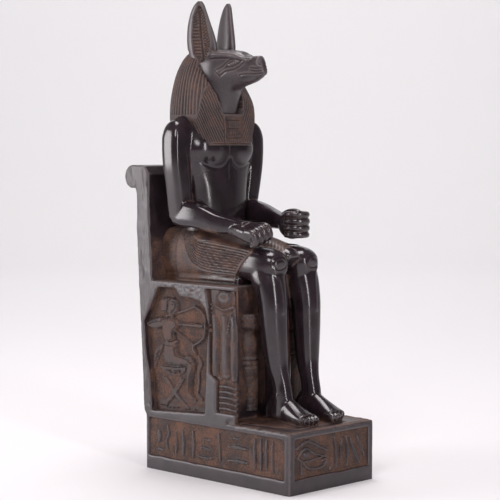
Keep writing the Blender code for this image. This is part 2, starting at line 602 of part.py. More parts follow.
def wig_field(x, y, z):
    """Stripes down the wig's hull and along its lappets."""
    rows = [(row[2], row[1], row[3], row[4], row[5]) for row in WIG_STATIONS]
    middle = along_stations(z, rows, 1)
    depth = np.where(y < middle, along_stations(z, rows, 3), along_stations(z, rows, 4))
    radius = np.hypot(x / along_stations(z, rows, 2), (y - middle) / depth)
    on_hull = step(radius, 0.93, 0.97) * (1 - step(radius, 1.06, 1.1)) * step(z, WIG_HEM - 1, WIG_HEM + 1) * (z < WIG_CROWN)
    edge = np.interp(z, [246, 258, 266, 280, 286], [36, 34, 36, 44, 56])
    on_hull *= step(y, edge - 1, edge + 1)
    hull = on_hull * (0.5 + 0.5 * np.cos(np.arctan2(x, y - middle) * WIG_STRIPES))
    lappets = [(row[2], row[0], row[1], row[3]) for row in LAPPET_STATIONS]
    across = (np.abs(x) - along_stations(z, lappets, 1)) / along_stations(z, lappets, 3)
    front = along_stations(z, lappets, 2)
    on_lappet = (1 - step(np.abs(across), 0.85, 1)) * (y < front + 3)
    on_lappet *= step(z, LAPPET_HEM - 0.5, LAPPET_HEM + 1) * (1 - step(z, LAPPET_TOP - 3, LAPPET_TOP + 3))
    lappet = on_lappet * (0.5 + 0.5 * np.cos(across * 7 / LAPPET_STRIPE * math.tau))
    return STRIPE_DEPTH * np.maximum(hull, lappet)


def kilt_field(x, y, z):
    """The kilt, proud of the thighs behind its hem, with pleats that turn up over the hips."""
    hem = np.interp(z, [134.8, 141.5, 151.7, 157.9, 166], [-5.3, -8.4, -16, -23.6, -30])
    on_thigh = step(np.abs(x), 6, 10) * (z > DRAWN_SEAT + 2) * (z < KILT_TOP) * (np.abs(x) < 34)
    behind_hem = on_thigh * step(y, hem - 0.5, hem + 0.9)
    radius = (np.abs((y + 5) / 50) ** 3 + np.abs((179 - z) / 39.5) ** 3) ** (1 / 3)
    pleated = (1 - step(radius, 0.97, 1)) * step(radius, 0.3, 0.34) * step(np.abs(x), 13, 18)
    pleated *= step(y, hem + 1.5, hem + 3) * (y < 46)
    pleats = PLEAT_DEPTH * pleated * (0.5 + 0.5 * np.cos(radius * 39.5 / PLEAT_PITCH * math.tau))
    return behind_hem * (pleats - KILT_PROUD * (y < 50))


def face_field(x, y, z):
    """Eyes, mouth and nostrils; positive goes in."""
    near = (np.abs(x) > 2.5) * (y < 33)
    lids = line_distance(y, z, [(4, 287), (10.7, 288.6), (16, 288), (20.5, 285.7), (29.5, 279.4)])
    lids = np.minimum(lids, line_distance(y, z, [(4, 287), (8.5, 283), (13.7, 281), (20, 282)]))
    mouth = line_distance(y, z, [(-6, 279.4), (3, 280), (13, 277.4)])
    field = 0.7 * (1 - step(lids, 0.4, 1.5)) + 0.7 * (1 - step(mouth, 0.3, 1.3))
    return near * field


def carved(points, normals):
    """The smoothed body with its surface carving pressed in along the normals."""
    x, y, z = undrawn(points).T
    depth = ear_field(x, y, z, normals[:, 0]) + wig_field(x, y, z) + kilt_field(x, y, z) + face_field(x, y, z)
    return points - normals * depth[:, None] * FIGURE_SCALE


def smoothing_weights(points):
    """Only the figure is smoothed; the throne and plinth keep their edges."""
    x, y, z = undrawn(points).T
    above_seat = (z > DRAWN_SEAT + 1.5) * (y < 64) * (np.abs(x) < 52)
    over_roll = z > ROLL_UNDERSIDE
    before_throne = (y < DRAWN_THRONE_FRONT - 1.5) * (z > DRAWN_SOLE + 2.5) * (np.abs(x) < 32)
    return 0.5 * (above_seat | over_roll | before_throne)


def sculpt(mesh):
    """Smooth and carve the dense body."""
    points = np.empty(len(mesh.vertices) * 3)
    mesh.vertices.foreach_get("co", points)
    points = points.reshape(-1, 3)
    edges = np.empty(len(mesh.edges) * 2, np.int64)
    mesh.edges.foreach_get("vertices", edges)
    points = smoothed(points, edges.reshape(-1, 2), smoothing_weights(points), round(SMOOTH_ROUNDS))
    mesh.vertices.foreach_set("co", points.ravel())
    mesh.update()
    normals = np.empty(len(mesh.vertices) * 3, np.float32)
    mesh.vertex_normals.foreach_get("vector", normals)
    mesh.vertices.foreach_set("co", carved(points, normals.reshape(-1, 3)).ravel())
    mesh.update()


def cut_flat(mesh):
    """Cut the body level at its underside and close it there."""
    finish = bmesh.new()
    finish.from_mesh(mesh)
    everything = finish.verts[:] + finish.edges[:] + finish.faces[:]
    cut = bmesh.ops.bisect_plane(finish, geom=everything, plane_co=(0, 0, 0), plane_no=(0, 0, -1), clear_outer=True)
    rim = [item for item in cut["geom_cut"] if isinstance(item, bmesh.types.BMEdge)]
    bmesh.ops.holes_fill(finish, edges=rim)
    bmesh.ops.triangulate(finish, faces=finish.faces)
    finish.transform(Matrix.Scale(METRES_PER_MM, 4))
    bmesh.ops.recalc_face_normals(finish, faces=finish.faces)
    final = bpy.data.meshes.new(NODE_NAME)
    finish.to_mesh(final)
    finish.free()
    return final


def stone():
    material = bpy.data.materials.new("black_stone")
    material.use_nodes = True
    shader = material.node_tree.nodes["Principled BSDF"]
    shader.inputs["Base Color"].default_value = (0.030, 0.024, 0.026, 1)
    shader.inputs["Roughness"].default_value = 0.3
    shader.inputs["Metallic"].default_value = 0.0
    return material


def main():
    for thing in list(bpy.data.objects):
        bpy.data.objects.remove(thing)
    body = figure_parts()
    take_in(body, setting_parts())
    bmesh.ops.recalc_face_normals(body, faces=body.faces)
    body.from_mesh(throne_mesh())
    mesh = bpy.data.meshes.new(NODE_NAME)
    body.to_mesh(mesh)
    body.free()
    statue = bpy.data.objects.new(NODE_NAME, mesh)
    bpy.context.scene.collection.objects.link(statue)
    remesh = statue.modifiers.new("one body", "REMESH")
    remesh.mode = "VOXEL"
    remesh.voxel_size = VOXEL
    statue.data = evaluated_mesh(statue)
    statue.modifiers.clear()
    sculpt(statue.data)
    thin = statue.modifiers.new("fewer faces", "DECIMATE")
    thin.ratio = TARGET_TRIANGLES / (2 * len(statue.data.polygons))
    reduced = evaluated_mesh(statue)
    statue.modifiers.clear()
    statue.data = cut_flat(reduced)
    statue.data.materials.append(stone())


if __name__ == "__main__":
    main()
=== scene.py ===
import itertools
import math

import bmesh
import bpy
import numpy as np
from mathutils import Matrix, Vector


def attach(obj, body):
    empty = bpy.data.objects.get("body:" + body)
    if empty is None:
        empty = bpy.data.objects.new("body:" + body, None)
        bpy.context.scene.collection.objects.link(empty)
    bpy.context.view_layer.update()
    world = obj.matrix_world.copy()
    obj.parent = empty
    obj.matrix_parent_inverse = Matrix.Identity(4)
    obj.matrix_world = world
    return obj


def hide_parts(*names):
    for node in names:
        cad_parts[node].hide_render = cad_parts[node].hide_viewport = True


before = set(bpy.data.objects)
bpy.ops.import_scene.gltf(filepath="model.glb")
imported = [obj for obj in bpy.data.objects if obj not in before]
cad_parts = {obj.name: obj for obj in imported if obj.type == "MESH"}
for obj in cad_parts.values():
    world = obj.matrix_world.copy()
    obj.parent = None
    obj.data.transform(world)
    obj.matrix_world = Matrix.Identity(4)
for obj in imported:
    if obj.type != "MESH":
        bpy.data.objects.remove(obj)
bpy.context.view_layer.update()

bl_info = {
    "name": "Seated jackal statue",
    "version": (1, 0, 0),
    "blender": (4, 5, 0),
    "location": "View3D > Sidebar > Statue",
    "description": "A carved black stone figure on its throne and plinth",
    "category": "Object",
}

NODE = "anubis_statue"
MM = 0.001

# Camera, in metres and degrees
CAMERA_PLACE = (-0.8016, -0.7896, 0.2274)
CAMERA_YAW = 45.16
CAMERA_PITCH = 3.61
FOCAL_IN_FRAMES = 1623 / 500
SIGHT_SLOPE = 0.089

# Carved panels: their grid in millimetres, and the share of its faces that is kept
RELIEF_PITCH = 0.45
RELIEF_KEEP = 0.6


def through(rows, steps):
    """Rows of numbers made denser by a Catmull-Rom curve."""
    rows = np.array(rows, float)
    padded = np.vstack([2 * rows[0] - rows[1], rows, 2 * rows[-1] - rows[-2]])
    dense = []
    for i in range(len(rows) - 1):
        a, b, c, d = padded[i:i + 4]
        for t in np.arange(steps) / steps:
            bend = (2 * a - 5 * b + 4 * c - d) * t + (3 * b - a - 3 * c + d) * t * t
            dense.append(b + 0.5 * t * (c - a + bend))
    dense.append(rows[-1])
    return np.array(dense)


def step(value, low, high):
    """0 below low, 1 above high, smooth between."""
    t = np.clip((value - low) / (high - low), 0, 1)
    return t * t * (3 - 2 * t)


def band(value, low, high, soft):
    """1 between low and high, fading out over a soft edge."""
    return step(value, low - soft / 2, low + soft / 2) * (1 - step(value, high - soft / 2, high + soft / 2))


def bump(value, reach):
    """A round swelling: 1 at 0, falling to 0 at reach."""
    return np.clip(1 - (value / reach) ** 2, 0, 1) ** 1.5


def wave(value):
    """Waves of pitch 1 between 0 and 1."""
    return 0.5 + 0.5 * np.cos(value * math.tau)


def nearest(places, points):
    """Distance of each place to a line through points, and how far along it lies, 0 to 1."""
    points = np.array(points, float)
    best = np.full(len(places), 1e9)
    along = np.zeros(len(places))
    lengths = np.linalg.norm(np.diff(points, axis=0), axis=1)
    starts = np.concatenate([[0], np.cumsum(lengths)])
    for one, two, length, start in zip(points, points[1:], lengths, starts):
        t = np.clip((places - one) @ (two - one) / length ** 2, 0, 1)
        away = np.linalg.norm(places - one - t[:, None] * (two - one), axis=1)
        closer = away < best
        best = np.where(closer, away, best)
        along = np.where(closer, (start + t * length) / starts[-1], along)
    return best, along


def inside(places, outline):
    """Signed distance to a closed flat outline, positive inside it."""
    u, v = places.T
    closed = list(outline) + [outline[0]]
    away, _ = nearest(places, closed)
    within = np.zeros(len(places), bool)
    for (u0, v0), (u1, v1) in zip(closed, closed[1:]):
        if v0 == v1:
            continue
        crosses = ((v0 > v) != (v1 > v)) & (u < (u1 - u0) * (v - v0) / (v1 - v0) + u0)
        within ^= crosses
    return np.where(within, away, -away)


def uneven(points, size, seed):
    """Smooth random heights from -1 to 1; size is the cell in millimetres, for all axes or for each."""
    lattice = np.random.default_rng(seed).uniform(-1, 1, (16, 16, 16))
    cell = points / np.array(size)
    low = np.floor(cell).astype(int)
    t = cell - low
    t = t * t * (3 - 2 * t)
    total = np.zeros(len(points))
    for corner in itertools.product((0, 1), repeat=3):
        weight = np.prod(np.where(corner, t, 1 - t), axis=1)
        total += weight * lattice[tuple(((low + corner) % 16).T)]
    return total


def new_object(name, mesh):
    thing = bpy.data.objects.new(name, mesh)
    bpy.context.scene.collection.objects.link(thing)
    return thing


def evaluated(thing):
    return bpy.data.meshes.new_from_object(thing.evaluated_get(bpy.context.evaluated_depsgraph_get()))


def thinned(mesh, keep):
    """The mesh with a share of its faces kept, most of them where it is carved."""
    thing = new_object("thinned", mesh)
    fewer = thing.modifiers.new("fewer faces", "DECIMATE")
    fewer.ratio = keep
    thin = evaluated(thing)
    bpy.data.objects.remove(thing)
    return thin


class Clay:
    """Overlapping closed shells, in millimetres, that are fused into one body."""

    def __init__(self):
        self.bm = bmesh.new()

    def ring(self, centre, along, sizes, square, sides, cap):
        """One cross-section of a limb; gives its edges."""
        half_side, half_low, half_high = sizes
        side = Vector((1, 0, 0)) - along * along.x
        side = side.normalized() if side.length > 0.05 else Vector((0, 1, 0))
        up = along.cross(side).normalized()
        made = bmesh.ops.create_circle(self.bm, cap_ends=cap, radius=1, segments=sides)
        for vert in made["verts"]:
            across, over = vert.co.x, vert.co.y
            across = math.copysign(abs(across) ** square, across)
            over = math.copysign(abs(over) ** square, over)
            reach = half_high if over > 0 else half_low
            vert.co = centre + side * across * half_side + up * over * reach
        verts = set(made["verts"])
        return list({e for v in verts for e in v.link_edges if e.other_vert(v) in verts})

    def limb(self, stations, square=1.0, steps=4, sides=28):
        """A closed solid through stations of x, y, z, half side, half low and half high."""
        rows = through(stations, steps)
        rows[:, 3:] = np.maximum(rows[:, 3:], 0.25)
        points = [Vector(row[:3]) for row in rows]
        before = None
        for i, row in enumerate(rows):
            along = (points[min(i + 1, len(rows) - 1)] - points[max(i - 1, 0)]).normalized()
            edges = self.ring(points[i], along, row[3:6], square, sides, i in (0, len(rows) - 1))
            if before:
                bmesh.ops.bridge_loops(self.bm, edges=before + edges)
            before = edges

    def both(self, stations, **shape):
        """The same limb on either side."""
        for hand in (-1, 1):
            self.limb([(hand * row[0], *row[1:]) for row in stations], **shape)

    def ball(self, centre, radii):
        matrix = Matrix.Translation(Vector(centre)) @ Matrix.Diagonal((*radii, 1))
        bmesh.ops.create_uvsphere(self.bm, u_segments=32, v_segments=18, radius=1, matrix=matrix)

    def box(self, low, high):
        low, high = Vector(low), Vector(high)
        matrix = Matrix.Translation((low + high) / 2) @ Matrix.Diagonal((*(high - low), 1))
        bmesh.ops.create_cube(self.bm, size=1, matrix=matrix)

    def prism(self, outline, x_from, x_to):
        """A prism along X over an outline of (y, z) points."""
        face = self.bm.faces.new([self.bm.verts.new((x_from, y, z)) for y, z in outline])
        made = bmesh.ops.extrude_face_region(self.bm, geom=[face])
        moved = [item for item in made["geom"] if isinstance(item, bmesh.types.BMVert)]
        bmesh.ops.translate(self.bm, verts=moved, vec=(x_to - x_from, 0, 0))

    def turned(self, other, centre=(0, 0, 0), degrees=0.0, axis="Z"):
        """Take in another clay, turned about a line through a centre."""
        turn = Matrix.Rotation(math.radians(degrees), 3, axis)
        bmesh.ops.rotate(other.bm, verts=other.bm.verts, cent=centre, matrix=turn)
        mesh = bpy.data.meshes.new("shell")
        other.bm.to_mesh(mesh)
        other.bm.free()
        self.bm.from_mesh(mesh)
        bpy.data.meshes.remove(mesh)

    def less(self, cutters):
        """Cut another clay's shells out of this one."""
        block = self.solid("block")
        tool = cutters.solid("cutters")
        difference = block.modifiers.new("cuts", "BOOLEAN")
        difference.operation = "DIFFERENCE"
        difference.object = tool
        mesh = evaluated(block)
        bpy.data.objects.remove(tool)
        bpy.data.objects.remove(block)
        self.bm = bmesh.new()
        self.bm.from_mesh(mesh)

    def solid(self, name):
        bmesh.ops.recalc_face_normals(self.bm, faces=self.bm.faces)
        mesh = bpy.data.meshes.new(name)
        self.bm.to_mesh(mesh)
        self.bm.free()
        return new_object(name, mesh)

    def fused(self, voxel):
        """One dense closed body of all the shells."""
        thing = self.solid("fused")
        remesh = thing.modifiers.new("one body", "REMESH")
        remesh.mode = "VOXEL"
        remesh.voxel_size = voxel
        mesh = evaluated(thing)
        bpy.data.objects.remove(thing)
        return Carved(mesh)


def keep_values(mesh, **values):
    """Keep numbers on a mesh's points, for its material to read."""
    for label, numbers in values.items():
        attribute = mesh.attributes.new(label, "FLOAT", "POINT")
        attribute.data.foreach_set("value", numbers.astype(np.float32))


class Carved:
    """A dense body held as arrays of points, which are smoothed and pressed."""

    def __init__(self, mesh):
        self.mesh = mesh
        points = np.empty(len(mesh.vertices) * 3)
        mesh.vertices.foreach_get("co", points)
        self.points = points.reshape(-1, 3)
        edges = np.empty(len(mesh.edges) * 2, np.int64)
        mesh.edges.foreach_get("vertices", edges)
        edges = edges.reshape(-1, 2)
        self.start = np.concatenate([edges[:, 0], edges[:, 1]])
        self.end = np.concatenate([edges[:, 1], edges[:, 0]])
        self.count = np.bincount(self.start, minlength=len(self.points))[:, None]

    @property
    def xyz(self):
        return self.points.T

    def means(self, values):
        total = [np.bincount(self.start, values[self.end, k], len(values)) for k in range(values.shape[1])]
        return np.stack(total, 1) / self.count

    def smooth(self, rounds, weight=0.5):
        weight = np.broadcast_to(weight, len(self.points))[:, None]
        for _ in range(rounds):
            self.points = self.points + weight * (self.means(self.points) - self.points)

    def normals(self):
        self.mesh.vertices.foreach_set("co", self.points.ravel())
        self.mesh.update()
        normals = np.empty(len(self.points) * 3, np.float32)
        self.mesh.vertex_normals.foreach_get("vector", normals)
        return normals.reshape(-1, 3).astype(float)

    def press(self, depth):
        """Move the surface inwards by a depth at each point."""
        self.points = self.points - self.normals() * depth[:, None]

    def hollows(self, rounds, scale):
        """How far each point lies below the smoothed surface round it, -1 on ridges to 1 in grooves."""
        normals = self.normals()
        mean = self.points
        for _ in range(rounds):
            mean = self.means(mean)
        return np.clip(np.sum((mean - self.points) * normals, axis=1) / scale, -1, 1)

    def finish(self, pieces, material, patina, keep):
        """The body as named pieces, each cut by its own planes, with its patina and its ridges and grooves
        (painted shade in grooves, lighter ridges).
        """
        fine = self.hollows(5, 0.22)
        broad = self.hollows(40, 1.2)
        dirt = np.clip(patina + 0.75 * np.maximum(fine, 0) + 0.35 * np.maximum(broad, 0), 0, 1)
        # Positive on ridges, negative in grooves: the material paints the grooves darker as painted shade,
        # and the ridges lighter, partly rubbing and partly painted highlight.
        worn = np.clip(-fine - 0.15 * broad, -1, 1)
        self.normals()
        keep_values(self.mesh, patina=dirt, worn=worn)
        body = thinned(self.mesh, keep)
        for name, cuts in pieces.items():
            dressed(name, trimmed(body, cuts), material)


def trimmed(body, cuts):
    """A copy of a body cut by planes, each a place and the direction that is cleared, and closed there."""
    mesh = body.copy()
    bm = bmesh.new()
    bm.from_mesh(mesh)
    for place, clear in cuts:
        everything = bm.verts[:] + bm.edges[:] + bm.faces[:]
        cut = bmesh.ops.bisect_plane(bm, geom=everything, plane_co=place, plane_no=clear, clear_outer=True)
        rim = [item for item in cut["geom_cut"] if isinstance(item, bmesh.types.BMEdge)]
        bmesh.ops.holes_fill(bm, edges=rim)
    bmesh.ops.triangulate(bm, faces=[face for face in bm.faces if len(face.verts) > 4])
    bm.to_mesh(mesh)
    bm.free()
    return mesh


def dressed(name, mesh, material, sharp=50):
    """Hand a mesh in millimetres over as a finished piece of the statue."""
    mesh.transform(Matrix.Scale(MM, 4))
    mesh.name = name
    mesh.materials.clear()
    mesh.materials.append(bpy.data.materials[material])
    for face in mesh.polygons:
        face.use_smooth = True
    mesh.set_sharp_from_angle(angle=math.radians(sharp))
    piece = new_object(name, mesh)
    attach(piece, "root")
    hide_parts(NODE)


class Relief:
    """A carved panel: a fine grid of heights over a flat ground, closed behind."""

    def __init__(self, low, high):
        self.low, self.high = low, high
        self.columns = round((high[0] - low[0]) / RELIEF_PITCH)
        self.rows = round((high[1] - low[1]) / RELIEF_PITCH)
        self.bm = bmesh.new()
        bmesh.ops.create_grid(self.bm, x_segments=self.columns, y_segments=self.rows, size=1)
        flat = np.array([vert.co[:2] for vert in self.bm.verts])
        self.places = (np.array(low) + high) / 2 + flat * (np.array(high) - low) / 2
        self.height = np.zeros(len(flat))
        self.stroke_mask = np.zeros(len(flat))

    def stroke(self, points, widths, proud, curve=3):
        """A raised round line with its own half width at each point."""
        widths = np.broadcast_to(widths, len(points)).astype(float)
        rows = np.column_stack([points, widths])
        if len(points) > 2:
            rows = through(rows, curve)
        steps = np.hypot(*np.diff(rows[:, :2], axis=0).T)
        share = np.concatenate([[0], np.cumsum(steps)]) / steps.sum()
        away, along = nearest(self.places, rows[:, :2])
        ratio = away / np.interp(along, share, rows[:, 2])
        swell = np.sqrt(1 - np.clip(ratio, 0, 1) ** 2)
        self.height = np.maximum(self.height, np.where(ratio < 1, proud * swell, self.height))
        self.stroke_mask = np.maximum(self.stroke_mask, ratio < 1)

    def patch(self, outline, proud, edge=1.0):
        """A raised area inside an outline, rounded over its edge."""
        depth = inside(self.places, outline)
        t = np.clip(depth / edge, 0, 1)
        swell = np.sin(t * math.pi / 2) ** 0.8
        self.height = np.maximum(self.height, np.where(depth > 0, proud * swell, self.height))
        self.stroke_mask = np.maximum(self.stroke_mask, depth > 0)

    def groove(self, points, width, depth):
        """A cut line, or a raised one where the depth is negative."""
        away, _ = nearest(self.places, through(points, 3))
        self.height = self.height - depth * bump(away, width)

    def within(self, outline):
        """1 inside an outline, fading out over its edge."""
        return step(inside(self.places, outline), -0.3, 0.3)

    def uneven(self, size, seed):
        return uneven(np.column_stack([self.places, 0 * self.height]), size, seed)

    def finish(self, name, material, place, back, patina):
        """The panel as an object; place turns u, v and height into x, y and z."""
        boundary = [edge for edge in self.bm.edges if edge.is_boundary]
        made = bmesh.ops.extrude_edge_only(self.bm, edges=boundary)
        rim = [item for item in made["geom"] if isinstance(item, bmesh.types.BMEdge)]
        count = len(self.height)
        flat = np.array([vert.co[:2] for vert in self.bm.verts])
        u, v = ((np.array(self.low) + self.high) / 2 + flat * (np.array(self.high) - self.low) / 2).T
        height = np.full(len(flat), -back)
        height[:count] = self.height
        for vert, point in zip(self.bm.verts, np.stack(place(u, v, height), 1)):
            vert.co = point
        bmesh.ops.holes_fill(self.bm, edges=[edge for edge in rim if edge.is_boundary])
        bmesh.ops.recalc_face_normals(self.bm, faces=self.bm.faces)
        mesh = bpy.data.meshes.new(name)
        self.bm.to_mesh(mesh)
        self.bm.free()
        behind = np.zeros(len(flat) - count)
        # Rise over the ground round each point: the material paints grooves darker as painted shade, and
        # ridges lighter, partly rubbing and partly painted highlight.
        keep_values(mesh, patina=np.append(patina, behind), worn=np.append(self.rise_over_ground(), behind))
        dressed(name, thinned(mesh, RELIEF_KEEP), material, 60)

    def grid_mean(self, rounds):
        grid = self.height.reshape(-1, self.columns + 1)
        for _ in range(rounds):
            padded = np.pad(grid, 1, mode="edge")
            grid = (padded[:-2, 1:-1] + padded[2:, 1:-1] + padded[1:-1, :-2] + padded[1:-1, 2:]) / 4
        return grid.ravel()

    def soften(self, rounds):
        self.height = self.grid_mean(rounds)

    def rise_over_ground(self):
        """How far each point stands over the ground round it, -1 in grooves to 1 on ridges."""
        return np.clip((self.height - self.grid_mean(4)) / 0.5, -1, 1)


class Value:
    """A shader socket that takes part in Python expressions."""

    def __init__(self, nodes, socket):
        self.nodes, self.socket = nodes, socket

    def math(self, operation, *others):
        sockets = dict(enumerate((self, *others)))
        return self.nodes.make("ShaderNodeMath", {"operation": operation}, sockets)

    def __add__(self, other):
        return self.math("ADD", other)

    def __sub__(self, other):
        return self.math("SUBTRACT", other)

    def __rsub__(self, other):
        return self.nodes.make("ShaderNodeMath", {"operation": "SUBTRACT"}, {0: other, 1: self})

    def __mul__(self, other):
        return self.math("MULTIPLY", other)

    __radd__ = __add__
    __rmul__ = __mul__

    def ramp(self, low, high):
        """0 below low, 1 above high, smooth between."""
        settings = {"interpolation_type": "SMOOTHSTEP", "clamp": True}
        return self.nodes.make(
            "ShaderNodeMapRange", settings, {"Value": self, "From Min": low, "From Max": high},
        )


class Nodes:
    """Makes the nodes of one material."""

    def __init__(self, name):
        self.material = bpy.data.materials.new(name)
        self.material.use_nodes = True
        self.tree = self.material.node_tree
        self.shader = self.tree.nodes["Principled BSDF"]

    def make(self, kind, settings=None, sockets=None, output=0):
        node = self.tree.nodes.new(kind)
        for label, value in (settings or {}).items():
            setattr(node, label, value)
        for label, value in (sockets or {}).items():
            self.feed(node.inputs[label], value)
        return Value(self, node.outputs[output])

    def feed(self, socket, value):
        if isinstance(value, Value):
            self.tree.links.new(value.socket, socket)
        else:
            socket.default_value = value

    def noise(self, place, scale, detail=3.0, roughness=0.5):
        sockets = {"Vector": place, "Scale": scale, "Detail": detail, "Roughness": roughness}
        return self.make("ShaderNodeTexNoise", {}, sockets)

    def blend(self, factor, first, second):
        """A colour between two."""
        node = self.tree.nodes.new("ShaderNodeMix")
        node.data_type = "RGBA"
        for label, value in (("Factor", factor), ("A", first), ("B", second)):
            self.feed(node.inputs[label], value)
        return Value(self, node.outputs["Result"])


def stone(name, gloss, pores, ground=0.0, pale=0.0):
    """Near-black stone: its roughness, the depth of its pores, how brown it lies, and how pale, the pale
    colour standing for rubbing and for painted sheen on ridges.
    """
    colours = bpy.context.scene.statue_finish
    nodes = Nodes(name)
    place = nodes.make("ShaderNodeTexCoord", output=3)
    patina = nodes.make("ShaderNodeAttribute", {"attribute_name": "patina"}, output=2)
    worn = nodes.make("ShaderNodeAttribute", {"attribute_name": "worn"}, output=2)
    cloud = nodes.noise(place, 90.0, 4.0, 0.6)
    speck = nodes.noise(place, 900.0, 3.0, 0.6)
    fine = nodes.noise(place, 3200.0, 2.0, 0.5)
    brown = (patina + ground + (cloud - 0.5) * 0.4 + (speck - 0.5) * 0.3).ramp(0.18, 0.75)
    rubbed_and_sheen = (worn + pale + (speck - 0.5) * 0.5).ramp(0.3, 0.95)
    black = nodes.blend(cloud.ramp(0.35, 0.7), (*colours.stone, 1), (*colours.stone_light, 1))
    earth = nodes.blend(
        (speck + cloud - 0.5).ramp(0.3, 0.75), (*colours.dark_patina_and_groove_shade, 1), (*colours.patina, 1),
    )
    colour = nodes.blend(brown, black, earth)
    # Painted shade: grooves are darkened toward the dark patina colour.
    colour = nodes.blend((worn * -1).ramp(0.15, 0.9) * 0.75, colour, (*colours.dark_patina_and_groove_shade, 1))
    # Ridges and the pale share lighten toward a pale colour: partly rubbing of the stone, partly a painted
    # highlight on edges and ridges.
    colour = nodes.blend(rubbed_and_sheen * 0.5, colour, (*colours.rubbed_and_sheen, 1))
    nodes.feed(nodes.shader.inputs["Base Color"], colour)
    rough = gloss + brown * 0.42 + rubbed_and_sheen * 0.05 + (cloud - 0.5) * gloss * 0.4 + (speck - 0.5) * gloss * 0.4
    nodes.feed(nodes.shader.inputs["Roughness"], rough.math("MAXIMUM", 0.06))
    depth = speck * 0.6 + fine * 0.4
    bumps = nodes.make("ShaderNodeBump", {}, {"Strength": 1.0, "Distance": pores * MM, "Height": depth})
    nodes.feed(nodes.shader.inputs["Normal"], bumps)
    nodes.shader.inputs["IOR"].default_value = 1.55
    nodes.shader.inputs["Specular IOR Level"].default_value = 0.6
    return nodes.material


def colour_setting(name, description, default):
    return bpy.props.FloatVectorProperty(
        name=name, description=description, subtype="COLOR", default=default,
    )


def depth_setting(name, description, default):
    """A length given in millimetres and kept in metres."""
    return bpy.props.FloatProperty(
        name=name, description=description, subtype="DISTANCE", default=default * MM,
    )


class FinishSettings(bpy.types.PropertyGroup):
    stone: colour_setting("Stone", "Colour of the polished stone", (0.0150, 0.0090, 0.0120))
    stone_light: colour_setting("Stone, lighter", "Colour of its paler clouds", (0.027, 0.0165, 0.0215))
    patina: colour_setting("Patina", "Colour of the brown ground in the carving", (0.135, 0.062, 0.037))
    # Dark patina, and also the painted shade in the grooves.
    dark_patina_and_groove_shade: colour_setting("Patina, darker", "Colour of the deepest patina", (0.030, 0.014, 0.010))
    # Partly the colour of stone polished by rubbing, partly a painted highlight on ridges and edges.
    rubbed_and_sheen: colour_setting("Rubbed edges", "Colour where edges are worn", (0.135, 0.108, 0.108))


class SizeSettings(bpy.types.PropertyGroup):
    stripe_depth: depth_setting("Stripe depth", "Depth of the wig's stripes", 0.7)
    lappet_stripe: depth_setting("Lappet stripe", "Pitch of the stripes on the lappets", 2.1)
    pleat_depth: depth_setting("Pleat depth", "Depth of the kilt's pleats", 0.8)
    niche_depth: depth_setting("Niche depth", "Depth of the throne's side niches", 5.0)
    panel_depth: depth_setting("Panel depth", "Depth of the plinth's panels", 1.6)
    wig_stripes: bpy.props.IntProperty(
        name="Wig stripes", description="Stripes round the whole wig", default=66,
    )
    pleats: bpy.props.IntProperty(name="Pleats", description="Pleats on each side of the kilt", default=11)


def slid(points, plane):
    """Points slid along the camera's line of sight onto the planes x = -plane and x = plane, as y and z."""
    depth = plane - np.abs(points[:, 0])
    return np.column_stack([points[:, 1] - depth, points[:, 2] + SIGHT_SLOPE * depth])


def line(places, points, reach):
    """1 on a line through points, falling to 0 at a reach beside it."""
    if len(points) > 2:
        points = through(points, 4)
    return bump(nearest(places, points)[0], reach)


# Ears: rows of height, middle, half thickness and half width
EAR_STATIONS = [
    (281, 43.6, 3.6, 4.6), (286, 43.5, 4.4, 6.9), (291, 43.8, 4.6, 10.3), (296, 43.2, 4.4, 12),
    (303, 44.1, 4.0, 11.6), (310, 44.9, 3.6, 10.3), (317, 45.1, 3.1, 8.4), (323, 44.7, 2.5, 6.3),
    (327.2, 44.0, 2.0, 4.1), (330.4, 43.6, 0.9, 1.2),
]
EAR_X, EAR_Y, EAR_TURN, EAR_SPLAY = 11.7, 46.2, 15.0, 0.075
EAR_FOOT = 290
EAR_FRONT = [(41, 287), (39.4, 288), (35.9, 293.8), (34.7, 300), (36.9, 311.3), (38.7, 320.5), (41, 326)]
EAR_OPENING = [*EAR_FRONT, (44, 327), (48.3, 319), (49.8, 305.1), (48.9, 293.3), (44.6, 287.2)]
EAR_GROOVE = [(44.4, 322), (43.7, 317.6), (43.1, 303.7), (41.3, 288.2)]

# Head, jaw and neck: rows of y, z, half width, low and high
HEAD_STATIONS = [
    (52, 281, 15, 8, 13.4), (36, 281, 15.2, 8, 15), (27, 281, 13.4, 8, 15), (20, 281, 11.4, 7.6, 14.2),
    (14.5, 281, 10, 7.2, 13.2), (10, 281, 8.4, 6.8, 10.6), (5, 281.2, 7, 6.2, 9.4),
    (0, 281.6, 5.5, 5.9, 9), (-3, 282, 4.6, 5.8, 8.7), (-5, 282.3, 3.8, 5.6, 8.4),
    (-6, 282.6, 3, 4.8, 7.6), (-6.6, 282.8, 1.9, 3.4, 6),
]
JAW_STATIONS = [
    (34, 277, 12, 13, 8), (26, 277, 10.4, 11.6, 8), (20, 278, 8.8, 10.6, 7), (14.5, 279, 7.6, 10.4, 6),
    (10, 279, 6.4, 8.6, 5), (5, 279.4, 5.4, 7.6, 4), (0, 280, 4.4, 6.6, 4), (-3, 280, 3.6, 5.2, 4),
    (-4.6, 280.4, 2.8, 3.6, 3),
]
NECK_STATIONS = [
    (42, 240, 13.6, 14, 14), (42, 250, 14, 15.4, 14), (41, 254, 14, 16, 14), (40.4, 260, 13.6, 17.2, 14),
    (40, 267, 14.6, 18.6, 14), (39, 275, 15, 19.4, 14), (38.6, 282, 15, 18, 14),
]
EYE_BAND = [
    (6.2, 287.3), (10, 288.3), (13.9, 288.6), (17.5, 288.2), (22.5, 283.9), (28.6, 280.8), (25.4, 277),
    (20, 280.2), (13.2, 281.7), (8.3, 284.3),
]
